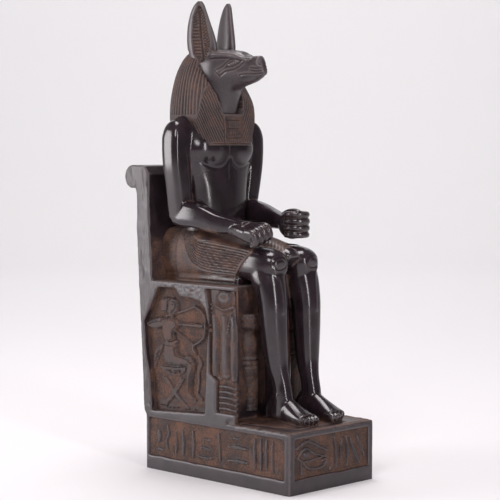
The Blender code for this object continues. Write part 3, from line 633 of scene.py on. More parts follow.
EYE = [(9.6, 287.1), (12.4, 287.5), (16, 287.1), (19.8, 284.4), (16.2, 283.3), (12.2, 284.6)]
# Brow, at either side: x, y and z
BROW_RIDGE = [
    (11.8, 36, 293.4), (10.6, 27, 292.9), (9, 20, 292.2), (7.8, 14.5, 291.2), (6.6, 9, 289.4),
    (5.4, 3, 288.6),
]
BROW_GROOVE = [(13.2, 33, 289.6), (12, 26, 289.8), (10.6, 20, 289.8), (9.2, 14, 289.2), (7.4, 8, 287)]
NOSTRIL_WING = [(-3.4, 288), (-4, 285), (-6.6, 284)]
# The nostril and two pits by it: y, z, depth and reach
NOSTRIL_PITS = [(-6, 286.4, 1.0, 1.4), (10.2, 283.3, 0.3, 1), (-2, 285, 0.3, 0.9)]
MUZZLE_LINES = [
    [(-8, 282.2), (-3, 282), (1.4, 282.6)], [(-8, 280.2), (-3, 280.1), (1.4, 280.8)],
    [(-8, 278.6), (-2, 278), (5, 278.2), (10.2, 277.2)],
]


class STATUE_OT_head(bpy.types.Operator):
    """Jackal's head and neck with tall ribbed ears"""
    bl_idname = "statue.head"
    bl_label = "Head"

    def execute(self, context):
        clay = Clay()
        clay.limb([(0, *row) for row in HEAD_STATIONS], square=0.72, sides=44)
        clay.limb([(0, *row) for row in JAW_STATIONS], square=0.9, sides=40)
        clay.limb([(0, *row) for row in NECK_STATIONS], sides=44)
        clay.ball((0, 28, 267), (10, 7.4, 9))
        for hand in (-1, 1):
            ear = Clay()
            ear.limb([
                (hand * (EAR_X + EAR_SPLAY * (z - EAR_FOOT)), y, z, thick, wide, wide)
                for z, y, thick, wide in EAR_STATIONS
            ], steps=5)
            clay.turned(ear, (hand * EAR_X, EAR_Y, 0), -hand * EAR_TURN)
        head = clay.fused(voxel=0.45)
        head.smooth(6)
        _, y, z = head.xyz
        skin = (1 - step(z, 288, 292) * step(y, 27, 31)) * step(y, -2, 8)
        head.smooth(12, 0.5 * skin)
        head.smooth(150, 0.8 * band(z, 250, 280, 8) * step(y, 8, 14))
        ear_depth = self.ears(head)
        field = self.face(head)
        head.press(field)
        head.smooth(1, 0.3)
        head.points[:, 2] = np.minimum(head.points[:, 2], EAR_TIP)
        brown = -0.6 * (field > 0.12) + 0.3 * (z > 286) * (ear_depth > 1)
        head.finish(
            {"head": [((0, 0, 241), (0, 0, -1)), ((0, 60, 0), (0, 1, 0))]}, "head stone", brown,
            keep=0.76,
        )
        return {"FINISHED"}

    def ears(self, head):
        """Hollow the ears' outer faces, with ribs behind a middle groove and beads before it."""
        x, y, z = head.xyz
        hand = np.sign(x)
        turn = math.radians(EAR_TURN)
        beside = np.abs(x) - EAR_X - EAR_SPLAY * (z - EAR_FOOT)
        out = beside * math.cos(turn) - (y - EAR_Y) * math.sin(turn)
        across = (y - EAR_Y) * math.cos(turn) + beside * math.sin(turn) + EAR_Y
        places = np.column_stack([across, z])
        depth = inside(places, EAR_OPENING)
        hollow = np.sqrt(np.clip(1 - (1 - np.clip(depth / 4.5, 0, 1)) ** 2, 0, 1)) * step(depth, -0.2, 0.5)
        outer = step(out, 0.4, 1.4) * (z > 285)
        groove = line(places, EAR_GROOVE, 1.2)
        behind = across - np.interp(z, [288, 303.7, 317.6, 322], [41.3, 43.1, 43.7, 44.4])
        ribs = band(behind, 0.9, 6, 0.8) * wave(z / 2.3) * band(z, 292, 313, 2)
        row, along = nearest(places, through(EAR_FRONT, 4))
        beads = np.clip(np.cos(math.pi * row / 2.5) * np.cos(math.tau * along * 20), 0, 1) ** 0.7
        beads *= np.where(behind < -0.8, 1, step(z, 312, 315) * (behind > 0.8))
        depth = outer * hollow * (2.9 + 0.8 * groove - 1.1 * ribs - 1.2 * beads)
        head.points[:, 0] -= hand * depth * math.cos(turn)
        head.points[:, 1] += depth * math.sin(turn)
        return np.abs(depth)

    def face(self, head):
        """Eyes in their painted bands, brows, nostrils and mouth; positive goes in."""
        x, y, z = head.xyz
        places = head.points[:, 1:]
        depth = inside(places, EYE_BAND)
        eye = inside(places, EYE)
        field = 0.5 * bump(depth, 0.75) - 0.3 * bump(depth - 1.3, 0.8) + 0.4 * bump(eye, 0.55)
        field -= 0.7 * step(eye, 0.3, 1.8)
        field += 0.3 * bump(np.hypot(y - 14.6, z - 285.6) - 1.3, 0.45)
        for mark in MUZZLE_LINES:
            field += 0.5 * line(places, mark, 0.7)
        for at_y, at_z, deep, reach in NOSTRIL_PITS:
            field += deep * bump(np.hypot(y - at_y, z - at_z), reach)
        field += 0.35 * line(places, NOSTRIL_WING, 0.7)
        beside = step(np.abs(head.normals()[:, 0]), 0.35, 0.6)
        folded = np.column_stack([np.abs(x), y, z])
        ridge = line(folded, BROW_RIDGE, 2)
        groove = line(folded, BROW_GROOVE, 1.3)
        return field * beside * (y < 34) + (0.4 * groove - 1.0 * ridge) * (y < 37)


WIG_STATIONS = [
    (0, 50, 243.4, 28.4, 18.5, 24), (0, 50, 249, 29, 19, 24.6), (0, 50, 258, 28.6, 20, 24.3),
    (0, 49.4, 268, 27, 18, 23.5), (0, 48.4, 278, 24.4, 13, 22.2), (0, 47.6, 285, 21, 9, 20),
    (0, 46.4, 290, 16.6, 8, 16.6), (0, 45, 293.4, 10.6, 8, 11.6), (0, 44, 295, 4, 4, 5),
]
# The wig's front: rows of height, half width and front
WIG_FRONT = [
    (228.2, 22, 22.2), (231, 23, 22.4), (236, 25, 22.8), (241, 26.8, 23.2), (245, 28, 23.6),
    (251, 28.6, 24.2), (256, 28.4, 25), (262, 27.6, 28), (268, 26.4, 32), (275, 24.4, 37.5),
    (282, 21, 43),
]
# Where the side stripes meet the lappets: height and y
WIG_PARTING = [(229, 36), (243.8, 35.4), (248.1, 32.5), (253.9, 30.6), (262, 31), (276, 33), (284, 43)]
LAPPET_EDGE = [(9.8, 24, 251), (11.5, 25, 259), (14, 36, 272), (15, 42, 280)]
# Slope of the lower stripes on the lappets
LAPPET_ACROSS, LAPPET_DOWN = 0.883, 0.469


class STATUE_OT_wig(bpy.types.Operator):
    """Striped wig with its two lappets and the small panel between them"""
    bl_idname = "statue.wig"
    bl_label = "Wig"

    def execute(self, context):
        clay = Clay()
        clay.limb(WIG_STATIONS, steps=6, sides=56)
        clay.limb([(0, front + 12, z, half, 12, 18) for z, half, front in WIG_FRONT], square=0.66, sides=52)
        wig = clay.fused(voxel=0.5)
        z = wig.points[:, 2]
        wig.smooth(6, 0.1 + 0.4 * step(z, 232, 236))
        wig.smooth(25, 0.5 * step(z, 250, 256))
        opening = np.interp(z, [250, 252, 259, 264, 272, 280], [8.6, 9, 10.8, 12, 14, 15])
        pocket = step(opening - np.abs(wig.points[:, 0]), -0.3, 0.4) * step(z, 250.8, 251.4) * (z < 282)
        wig.points[:, 1] += pocket * np.maximum(0, 36 - wig.points[:, 1])
        depth = self.stripes(context, wig)
        wig.press(depth)
        wig.finish({"wig": []}, "carved stone", 0.34, keep=0.74)
        return {"FINISHED"}

    def stripes(self, context, wig):
        """Stripes down the sides and across the lappets, and rows of marks on the panel between them."""
        sizes = context.scene.statue_sizes
        x, y, z = wig.xyz
        out = np.abs(x)
        normals = wig.normals()
        boundary = np.interp(z, *np.transpose(WIG_PARTING))
        side = step(y, boundary - 0.2, boundary + 0.8) * step(z, 249.6, 251)
        side = side * step(normals[:, 2] + 0.9, 0, 0.1) * (z < 296)
        side = side * wave(np.arctan2(x, y - 50) / math.tau * sizes.wig_stripes)
        heights, _, fronts = np.transpose(WIG_FRONT)
        beside = out + np.maximum(0, y - np.interp(z, heights, fronts) - 1)
        level = LAPPET_ACROSS * beside - LAPPET_DOWN * z
        curved = nearest(np.column_stack([out, y, z]), LAPPET_EDGE)[0]
        pitch = sizes.lappet_stripe / MM
        low = wave(level / pitch)
        high = wave(curved / pitch)
        upper = step(z, 252, 257)
        lappet = (low * (1 - upper) + high * upper) * (1 - step(y, boundary - 1.4, boundary - 0.6))
        lappet = lappet * step(out, 9.7, 10.3) * step(z, 231, 231.8)
        places = np.column_stack([x, z])
        panel = (y < 27) * (z < 252)
        upright = line(np.column_stack([out, z]), [(9.7, 252), (9.3, 229.8)], 0.6)
        marks = upright + line(places, [(-18, 230.2), (18, 230.2)], 0.6)
        for height in (246.4, 240.8, 234.2):
            marks = marks + line(places, [(-6.2, height), (6.2, height)], 0.6)
        for height, count in ((243.6, 6), (237.6, 5), (231.9, 6)):
            for i in range(count):
                at = (i - (count - 1) / 2) * 12 / count
                marks = marks + line(places, [(at, height - 1.2), (at + 0.3, height + 1.2)], 0.5)
        return sizes.stripe_depth / MM * (np.maximum(side, lappet) + 0.8 * panel * np.clip(marks, 0, 1))


def arm_shells(clay, hand, wrist, fist):
    """Shoulder to wrist, with the elbow bent square."""
    clay.limb([
        (hand * 34.4, 44, 245.6, 3, 4, 4), (hand * 35.2, 44, 243.4, 5.6, 6.4, 6.4),
        (hand * 36.2, 44, 238, 7.6, 8.2, 8.2), (hand * 36.6, 43.9, 230, 8, 8.6, 8.6),
        (hand * 36.3, 43.8, 217, 7.9, 8.4, 8.4), (hand * 34.8, 43.6, 205, 7.6, 8, 8),
        (hand * 33.2, 44, 194, 7.3, 8, 8), (hand * 32, 44.4, 186, 7.1, 8.2, 8),
        (hand * 31.4, 45, 178, 6.4, 7.4, 6.8),
    ], square=0.55, sides=36)
    clay.limb([
        (hand * 31.4, 49, 181, 6, 7.4, 7.4), (hand * 31.2, 40, 181, 7, 8.8, 9.4),
        (hand * 30.2, 26, 179.4, 6.7, 8, 8.6), (hand * 27.8, 12, wrist[2] + 1.8, 6, 6.8, 7),
        (*wrist, 5.3, 5, 5.4), (*fist, 5.4, 4.8, 4.8),
    ], square=0.62, sides=36)
    clay.limb([
        (hand * 14, 46, 242, 9, 7, 7), (hand * 27, 45.6, 242, 8.6, 7, 7),
        (hand * 37, 44.4, 238.4, 7, 6.8, 6.8),
    ])


class STATUE_OT_body(bpy.types.Operator):
    """Slim torso with a flat breast, both arms and both closed fists"""
    bl_idname = "statue.body"
    bl_label = "Torso and arms"

    def execute(self, context):
        clay = Clay()
        clay.limb([
            (0, 42, 150, 27, 18, 24), (0, 42, 165, 24.5, 16.8, 23), (0, 41.8, 178, 23.6, 15.6, 21),
            (0, 41.4, 190, 25, 15.2, 20), (0, 41.2, 200, 26, 14.8, 19.6), (0, 41.2, 209, 28, 14, 19),
            (0, 41.2, 216, 30, 14, 19), (0, 41.6, 226, 31.5, 15, 19), (0, 42.6, 236, 31.5, 15.4, 18),
            (0, 45, 243, 28, 13, 15), (0, 46, 248, 18, 10, 11),
        ], square=0.9, sides=48)
        for hand in (-1, 1):
            clay.ball((hand * 13.6, 37.8, 226.6), (16.6, 12.2, 14))
        clay.limb([(0, 60, 134, 20, 6, 10), (0, 60, 190, 18, 6, 8), (0, 62, 210, 17, 6, 7)], square=0.6)
        arm_shells(clay, -1, (-25, -3, 173.6), (-24, -13, 172.6))
        arm_shells(clay, 1, (23, -3, 175), (22, -12, 174.4))
        self.flat_fist(clay)
        self.upright_fist(clay)
        body = clay.fused(voxel=0.5)
        x, y, z = body.xyz
        body.smooth(3)
        body.smooth(10, 0.5 * step(y, -2, 4))
        body.smooth(70, 0.5 * step(z, 214, 220) * (1 - step(np.abs(x), 33, 38)) * (y < 46))
        body.smooth(60, 0.5 * step(z, 234, 239))
        body.smooth(30, 0.5 * band(np.abs(x), 26, 40, 4) * step(z, 226, 232))
        body.press(self.lines(body))
        lap = 0.6 * (1 - step(z, 168, 176)) * (y > 8)
        body.finish({"torso_and_arms": [((0, 0, 160), (0, 0, -1))]}, "figure stone", lap, keep=0.5)
        return {"FINISHED"}

    def lines(self, body):
        """Crease under the breasts, the middle line, and the thumb's nail; positive goes in."""
        x, y, z = body.xyz
        front = (y < 40) * (np.abs(x) < 27) * (z > 168)
        places = np.column_stack([np.abs(x), z])
        crease = line(
            places, [(29, 222), (25, 218.6), (20, 215.4), (15.2, 213.4), (9, 213), (4, 215.6), (1, 220)],
            1.7,
        )
        middle = line(places, [(0, 232), (0, 222), (0, 206)], 1.6)
        nail = line(body.points, [(16, -25, 184.4), (16, -29.5, 184)], 1.6) * (z > 183.2)
        return front * (0.25 * crease + 0.3 * middle) + 0.3 * nail

    def flat_fist(self, clay):
        """The right hand, closed and palm down, its thumb side raised."""
        hand = Clay()
        hand.limb([
            (-25, 2, 173, 4.4, 3.6, 3.6), (-24.6, -9, 172.6, 7.4, 5, 4.2),
            (-24.2, -18, 171.4, 9.2, 6.4, 4.2), (-24.2, -24.4, 170, 9.4, 6.8, 4.4),
        ], square=0.55, sides=36)
        for i in range(4):
            x = -17.3 - 4.7 * i
            hand.limb([
                (x, -19, 173.4, 2.2, 2, 2), (x, -25, 172.6, 2.4, 2.4, 2.4), (x, -26.8, 169.6, 2.5, 2.4, 2.4),
                (x, -26.4, 165.6, 2.4, 2.3, 2.3), (x, -22.4, 163.4, 2.2, 2, 2),
            ], sides=20)
        hand.limb([
            (-17, -6, 170, 2.6, 2.8, 2.8), (-14.6, -13, 169, 2.4, 2.6, 2.6),
            (-14.8, -20, 167, 2.2, 2.4, 2.4),
        ], sides=20)
        clay.turned(hand, (-22.6, 0, 173), -18, "Y")

    def upright_fist(self, clay):
        """The left hand, closed round an upright hollow, its thumb along the top."""
        clay.ball((19.4, -15, 174), (8.6, 11.4, 10.2))
        clay.limb([
            (21.6, -4, 175, 5.4, 5, 5), (20.6, -12, 174.4, 6.6, 7.4, 7.6), (19.6, -18, 174, 6, 7.6, 7.6),
        ])
        for i in range(4):
            z = 181.2 - 4.7 * i
            size = (2.3, 2.5, 2.4, 2.2)[i]
            clay.limb([
                (25, -14, z, size, size, size), (25, -20.6, z, size + 0.3, size, size),
                (21.4, -25.6, z, size + 0.4, size, size), (15.6, -25.6, z, size + 0.2, size, size),
                (12, -21.4, z, size, size, size), (12.2, -15, z, size * 0.9, size * 0.9, size * 0.9),
            ], square=0.85, sides=20)
        clay.limb([
            (21, -6, 180, 3, 2.8, 2.8), (19, -12, 182.4, 3.1, 2.4, 2.4), (16.2, -20, 183.4, 3, 2.1, 2.1),
            (14.8, -26.4, 182.4, 2.4, 1.8, 1.8),
        ], square=0.8, sides=24)


KILT_HEM = [
    (-28, 160.4), (-26.2, 158.7), (-20.8, 154.6), (-15.3, 150.1), (-12.2, 145.6), (-9.8, 141.4),
    (-8.4, 136.6),
]
PLEATS_INNER = [(-25, 158.5), (-0.4, 161.2), (18.3, 163), (28.6, 163.3), (32.5, 166), (33.5, 171)]
PLEATS_OUTER = [(-8.9, 140), (18.3, 141), (30, 144.4), (37, 149), (41, 157), (43, 163), (42.4, 171)]


class STATUE_OT_legs(bpy.types.Operator):
    """Thighs under the pleated kilt, its tab, the knees, shins and feet"""
    bl_idname = "statue.legs"
    bl_label = "Kilt and legs"

    def execute(self, context):
        clay = Clay()
        clay.both([
            (15.4, 72, 151, 15, 17, 20), (15.4, 58, 151, 15, 17, 20.4),
            (15.4, 44, 150.6, 14.8, 16.6, 20.4), (15.4, 24, 150, 14.4, 16, 18.8),
            (15.2, 6, 150, 13.8, 14.5, 14.4), (15, -10, 148.5, 13, 12.5, 11.9),
            (15, -22, 147.5, 12.4, 11.5, 12.4), (15, -30, 147, 11.2, 10.5, 11.2),
            (15, -34.6, 146.5, 9, 8.8, 8.6), (15, -37.4, 146, 5.6, 5.4, 4.8),
        ], square=0.76, sides=36)
        clay.both([
            (15.4, -22, 147, 11, 10.4, 12), (15.8, -24.6, 141, 11.4, 11.6, 12.2),
            (16.2, -27.6, 134, 10.8, 11.2, 11.2), (16.5, -30.4, 122, 9.8, 10, 9.8),
            (16.4, -31.2, 112, 9.4, 9.8, 9.2), (16.2, -31.8, 103, 9, 9.6, 8.8),
            (15.5, -32.9, 87, 8, 8.8, 8), (15, -34.2, 78, 7, 7.6, 7.2),
            (14.2, -36.4, 69.6, 6.2, 6.6, 6.4), (14, -38, 61, 6.2, 7, 6.6),
            (13.8, -38, 52, 6.6, 8.4, 7.4), (13.6, -37, 46, 6.8, 9, 8),
        ], square=0.88, sides=36)
        for hand in (-1, 1):
            clay.ball((hand * 16.4, -34.6, 149.4), (5.2, 2.5, 3.2))
            clay.ball((hand * 18.6, -37.4, 60), (2, 3.4, 3.2))
        self.feet(clay)
        clay.limb([
            (0, 34, 160, 11, 12, 8.6), (0, 8, 160, 9.6, 10, 7), (0, -10, 158.5, 8.6, 9, 7.2),
            (0, -22, 156, 7.6, 8, 6), (0, -31, 153, 6.4, 8, 5), (0, -33.5, 151, 5.4, 7, 3.6),
        ], square=0.7)
        clay.box((-28, -8, 130), (28, 66, 139))
        clay.limb([(0, -20, 40, 9, 7, 6), (0, -19, 90, 8, 8, 8), (0, -16, 140, 9, 8, 8)], square=0.6)
        clay.limb([(0, -16, 41, 36, 3, 2.4), (0, -40, 41, 31, 3, 2), (0, -63, 41, 26, 3, 1)])
        legs = clay.fused(voxel=0.55)
        legs.smooth(4)
        x, y, z = legs.xyz
        legs.smooth(14, 0.5 * step(z, 62, 68) * (1 - band(y, -39, -31, 2) * band(z, 143, 156, 2)))
        legs.smooth(12, 0.5 * band(z, 50, 70, 6) * step(y, -56, -48))
        x, y, z = legs.xyz
        kilt, depth = self.kilt(context, legs)
        legs.press(depth + self.knees(legs))
        patina = 0.5 * kilt + 0.55 * (1 - step(z, 42.4, 47))
        patina = np.maximum(patina, 0.5 * (1 - step(np.abs(x), 3.5, 6)) * (z < 140) * (y > -34))
        knee = (0, 0, 128)
        pieces = {
            "kilt_and_knees": [(knee, (0, 0, -1))],
            "shins_and_feet": [(knee, (0, 0, 1)), ((0, 0, 39), (0, 0, -1))],
        }
        patina = np.maximum(patina, 0.75 * step(y, 22, 34) * (z > 120))
        legs.finish(pieces, "figure stone", patina, keep=0.52)
        return {"FINISHED"}

    def feet(self, clay):
        for hand, back in ((-1, 4.6), (1, 2.6)):
            clay.limb([
                (hand * x, y + back, z, half, low, high)
                for x, y, z, half, low, high in [
                    (13, -30, 48, 5.4, 8, 6), (13, -38, 50, 5.8, 10, 13.2),
                    (13.2, -43.6, 50, 6.4, 10, 11.4), (13.4, -49, 49.4, 7, 9, 8.6),
                    (13.4, -54.6, 48.4, 7.6, 8, 6.4), (13.4, -60, 47.4, 8.2, 7, 4.5),
                    (13.4, -65, 46.6, 8.2, 6, 3.1),
                ]
            ], square=0.95)
            for toe, (x, front) in enumerate([
                (7, -68.8), (10.6, -69), (13.8, -68.4), (16.8, -67.2), (19.6, -65.4),
            ]):
                size = 2.1 if toe == 0 else 1.7
                front += back
                clay.limb([
                    (hand * x, front + 9, 47.2, size, 3.4, 2.8), (hand * x, front + 4, 46, size, 3.4, 2.8),
                    (hand * x, front + 0.8, 45.2, size * 0.85, 2.6, 2.1),
                ], sides=20)

    def kilt(self, context, legs):
        """The kilt, proud of the thighs behind its hem, with pleats that turn up over the hips."""
        sizes = context.scene.statue_sizes
        x, y, z = legs.xyz
        places = slid(legs.points, 30)
        hem_along, hem_height = np.transpose(KILT_HEM[::-1])
        hem = np.interp(places[:, 1], hem_height, hem_along)
        on_thigh = step(np.abs(x), 5, 8) * step(z, 135.4, 136.6) * (z < 176) * (np.abs(x) < 34)
        ahead = places[:, 0] - hem
        behind_hem = on_thigh * step(ahead, -0.5, 0.5)
        inner = nearest(places, through(PLEATS_INNER, 4))[0]
        outer = nearest(places, through(PLEATS_OUTER, 4))[0]
        level = inner / np.maximum(inner + outer, 0.01)
        pleated = step(inside(places, PLEATS_INNER + PLEATS_OUTER[::-1]), -0.2, 0.9) * step(ahead, 1.4, 2.4)
        outside = step(np.abs(x), 13, 17)
        pleats = wave(level * sizes.pleats) ** 1.3 * pleated * outside
        rim = bump(ahead - 0.7, 0.9) * on_thigh
        depth = behind_hem * (sizes.pleat_depth / MM * pleats - 0.6 * (y < 50)) - 0.3 * rim
        tab = (z > 154) * (np.abs(x) < 8.5) * band(y, -30, 24, 1)
        depth += 0.3 * tab * wave((y + np.abs(x) * 0.6) / 3) ** 2
        return np.maximum(behind_hem, tab), depth

    def knees(self, legs):
        """A groove round each kneecap and the ridge below it."""
        x, y, z = legs.xyz
        front = 1 - step(y, -31, -28)
        ring = np.hypot((np.abs(x) - 16.4) / 5.4, (z - 149.6) / 3.5) - 1.1
        places = np.column_stack([np.abs(x), z])
        ridge = line(places, [(21, 145), (18, 138.6), (17, 130), (16.6, 116)], 1.5)
        return front * (0.3 * bump(ring, 0.3) - 0.3 * ridge * (z > 60))


PLINTH_HALF = 42.0
PLINTH_BACK = 70.5
PLINTH_FRONT = -70.45
PLINTH_TOP = 41.3
PANEL_LOW, PANEL_HIGH = 9.8, 36.7
PANEL_CUT = 2.4
SEAT = 134.2
FRONT_WALL = -14.0
EAR_TIP = 329.7
NICHE = [
    (57.8, 129.7), (72.6, 104.2), (71, 86), (66.9, 65.3), (64.6, 41.8), (9.9, 45.5), (7.5, 92.9),
    (5.7, 103.2), (8.8, 116.8), (14.3, 122.2), (23.6, 124.1), (34.8, 124.6), (40.5, 130.1),
]
LION_FIELD = [
    (9.1, 131.3), (6.5, 119.2), (5.6, 100.9), (5.7, 74), (-1.3, 69.2), (-1.3, 47.8), (-26, 47.8),
    (-26, 131.3),
]


def round_about(centre, radius, first, last, stride):
    """Points on an arc, its angles in degrees."""
    angles = [math.radians(angle) for angle in range(first, last, stride)]
    return [(centre[0] + radius * math.cos(a), centre[1] + radius * math.sin(a)) for a in angles]


class STATUE_OT_throne(bpy.types.Operator):
    """Block throne with its leaning, rolled backrest, side niches, and the plinth with its panels"""
    bl_idname = "statue.throne"
    bl_label = "Throne and plinth"

    def execute(self, context):
        clay = Clay()
        clay.prism([
            (PLINTH_BACK + 0.3, PLINTH_TOP - 3), (-19.5, PLINTH_TOP - 3), (-19.5, SEAT), (64, SEAT),
            (65.4, 158), (66.3, 172), (67.1, 192), (67, 209.3), (71.5, 214.7), (84.2, 215.2),
            *round_about((84.2, 206.9), 8.3, 75, -91, -15), (81.3, 199), (79.9, 195), (79.8, 171),
            (79.1, 151), (77.4, 128), (74.9, 83), (72.8, 41),
        ], -PLINTH_HALF, PLINTH_HALF)
        niche_depth = context.scene.statue_sizes.niche_depth / MM
        for outline, depth in ((NICHE, niche_depth + 0.6), (LION_FIELD, 3.4)):
            cutters = Clay()
            for hand in (-1, 1):
                cutters.prism(outline, hand * (PLINTH_HALF - depth), hand * (PLINTH_HALF + 4))
            clay.less(cutters)
        cutters = Clay()
        cutters.box((-38, -30, PLINTH_TOP), (38, FRONT_WALL, SEAT + 2))
        clay.less(cutters)
        clay.turned(self.plinth())
        throne = clay.fused(voxel=0.65)
        throne.smooth(4)
        x, y, z = throne.xyz
        out, along = np.abs(x), np.abs(y)
        corners = step(out, 38, 39.5) * step(along, 66.5, 68) * (z < 45)
        foot = (1 - step(z, 1.5, 3)) * np.maximum(out > 38, along > 67)
        throne.smooth(10, 0.5 * np.clip(corners + foot, 0, 1))
        brown = self.texture(throne)
        throne.finish({"throne_and_plinth": [((0, 0, 0), (0, 0, -1))]}, "throne stone", brown, keep=0.36)
        return {"FINISHED"}

    def plinth(self):
        clay = Clay()
        clay.box((-PLINTH_HALF, PLINTH_FRONT, -3), (PLINTH_HALF, PLINTH_BACK, PLINTH_TOP))
        cutters = Clay()
        for hand in (-1, 1):
            low, high = sorted((hand * (PLINTH_HALF - PANEL_CUT), hand * (PLINTH_HALF + 4)))
            cutters.box((low, -65.3, PANEL_LOW), (high, 67.3, PANEL_HIGH))
        cutters.box((-36.8, PLINTH_FRONT - 4, PANEL_LOW), (36.8, PLINTH_FRONT + PANEL_CUT, PANEL_HIGH))
        clay.less(cutters)
        return clay

    def texture(self, throne):
        """Dents on the slab's sides, chisel marks over the niches, a rough panel edge; gives the patina."""
        points = throne.points
        x, y, z = throne.xyz
        out = np.abs(x)
        skin = step(out, 41, 41.6)
        edge = band(z, 7.5, 12, 2.5) * (out + np.abs(y) > 60)
        throne.points[:, 2] += 0.6 * uneven(points, (9, 9, 40), 12) * edge
        dents = uneven(points, (30, 3.2, 10), 3) + 0.6 * uneven(points, (30, 1.8, 4.5), 5)
        slab = skin * step(y, 58, 66) * (z > PLINTH_TOP + 4)
        chisel = skin * (y < 62) * step(z, 120, 124) * step(y, 4, 10)
        marks = np.maximum(uneven(points, (30, 1.3, 3.4), 7), uneven(points, (30, 2.6, 1.5), 8))
        strip = step(z, PLINTH_TOP - 5, PLINTH_TOP - 1) * (1 - step(z, PLINTH_TOP + 1, PLINTH_TOP + 4))
        rough = strip * step(np.maximum(out - 36, -66 - y), 0, 2) * (z > PLINTH_TOP - 1) * (y < -12)
        front = step(-y, 69.6, 70.2)
        depth = 0.26 * slab * (dents + 0.5) + 0.3 * chisel * (marks + 0.4)
        depth += 0.3 * rough * (uneven(points, 2.6, 21) + 0.7)
        depth += (0.05 + 0.04 * front) * (uneven(points, 5, 9) + 0.7)
        throne.press(depth + 0.04 * (uneven(points, 1.7, 10) + 0.6))
        seat = (out < 41) * (y < 68) * band(z, 50, 165, 12)
        ground = band(z, PLINTH_TOP - 0.5, PLINTH_TOP + 2.5, 1) * (out < 41)
        recess = (1 - skin) * step(out, 35, 36) * (y < 60) * (y > -22) * (z > 40)
        return 0.5 * seat + 0.34 * ground + 0.4 * recess + 0.16 * chisel + 0.3 * rough


NICHE_LOW, NICHE_HIGH = (4.5, 41), (77, 131.5)
# Beyond this y a niche's plate narrows to its back edge, rows of z and y
NICHE_BEND = 66
NICHE_BACK = [(41, 71.6), (128, 76)]

ARCHER_HEAD = [
    (47, 122.6), (43.4, 122.6), (40.9, 121.4), (40.3, 119.4), (39.1, 117.2), (40.2, 116.5), (39.7, 115.7),
    (40.2, 115), (39.9, 114.3), (40.7, 113), (43.6, 112), (45, 109), (50, 109), (50.4, 118),
]
HANGING_CLOTH = [(67.3, 78.6), (65.5, 84.6), (59.4, 88.9), (54.1, 90.6), (57, 84), (61.2, 77), (66.6, 66.8)]
STOOL_SEAT = [
    (61.6, 74.2), (57.6, 69.6), (52, 67.6), (44, 67), (37.6, 67.9), (33.2, 71), (31.6, 75.8), (44, 74.4),
]
# The archer's parts and seat: outline, height and the width of the rounded edge
ARCHER_PARTS = [
    ([
        (40.3, 107.8), (38.6, 103.3), (43.7, 98.2), (42.9, 92), (52.6, 90), (55.8, 94.9), (56.7, 101.9),
        (53.2, 108), (47, 109.4),
    ], 3.6, 3.6),
    ([
        (41, 106.3), (28, 106.7), (14.3, 107.1), (13.2, 105), (15.1, 102.9), (28, 103), (39.6, 103),
    ], 2.6, 2),
    ([
        (53.3, 91.4), (55.4, 87.9), (55, 82.1), (54.6, 75.8), (47.3, 74.2), (40, 76), (40.2, 84),
        (41.2, 91.6),
    ], 3.2, 3.2),
    ([
        (46, 84.4), (40.4, 83.8), (30.2, 82.8), (25.2, 79.6), (25.4, 76.6), (30.2, 75.2), (35.3, 75),
        (46, 74.4),
    ], 3.6, 3.4),
    ([
        (22.9, 79), (22.5, 74.6), (25.7, 67.9), (26.4, 59.1), (25.6, 55), (32, 55.6), (31.7, 61),
        (31.6, 67.4), (31, 77), (27, 81),
    ], 3.2, 2.6),
    ([(33.4, 56), (28.6, 52.4), (21.6, 52), (21.8, 53.8), (26.5, 57)], 2.6, 1.8),
    (HANGING_CLOTH, 2.2, 2.6), (STOOL_SEAT, 2.2, 2.4),
    ([(58.2, 109.4), (54.6, 108.4), (55.2, 104.4), (60, 103.8), (62.6, 106)], 3.6, 2),
    (ARCHER_HEAD, 2.5, 1), (ARCHER_HEAD, 3.9, 4.4),
    ([(57.2, 122.3), (50.5, 123.4), (46.6, 122.8), (48.4, 119), (49, 111.6), (57.9, 111.6)], 3.9, 3),
]


# Points, half width at each and height
ARCHER_STROKES = [
    ([(13.4, 52.4), (26.9, 51.4), (38.8, 50.8), (62, 48.6)], 0.9, 1.0),
    ([(9, 44.6), (30, 46.4), (50, 45.2), (66, 46.8)], 2.6, 1.0),
    ([
        (20.1, 83.4), (17.7, 78.5), (20, 73.7), (20.2, 63.3), (21.4, 57.9), (16.6, 54.2),
    ], [1.6, 2.4, 2, 1.7, 1.5, 1.4], 1.7),
    ([(53.4, 105), (63, 101.6), (72.4, 102.2)], [3, 2.6, 2.2], 2.6),
    ([(72.6, 102.4), (64, 105.2), (58.4, 106.8)], [1.7, 2, 1.9], 3.2),
    ([(53.2, 109.2), (40.3, 112.5), (28.4, 116.2), (23.4, 117.7)], 0.6, 2.6),
    ([(54.9, 104.9), (40.3, 98.5), (24.3, 91.2)], 0.7, 3.0),
    ([
        (23.4, 118), (17.6, 115.8), (13.4, 112.1), (12.4, 107.6), (13.2, 100.7), (14.3, 97.2),
        (19.3, 93.3), (24.3, 90.9), (24.7, 88.2), (22.6, 85.5),
    ], 1.15, 2.6),
    ([(53.6, 90.2), (47, 90.6), (41, 92.4)], 1.0, 3.1),
    ([(46.3, 100.9), (45.6, 105.1), (41.1, 106.7), (40.2, 104.1), (44.6, 100.6), (46.3, 100.9)], 0.6, 3.1),
    ([(30.6, 82.4), (27.6, 82), (25.6, 79.6)], 1.2, 3.4),
]


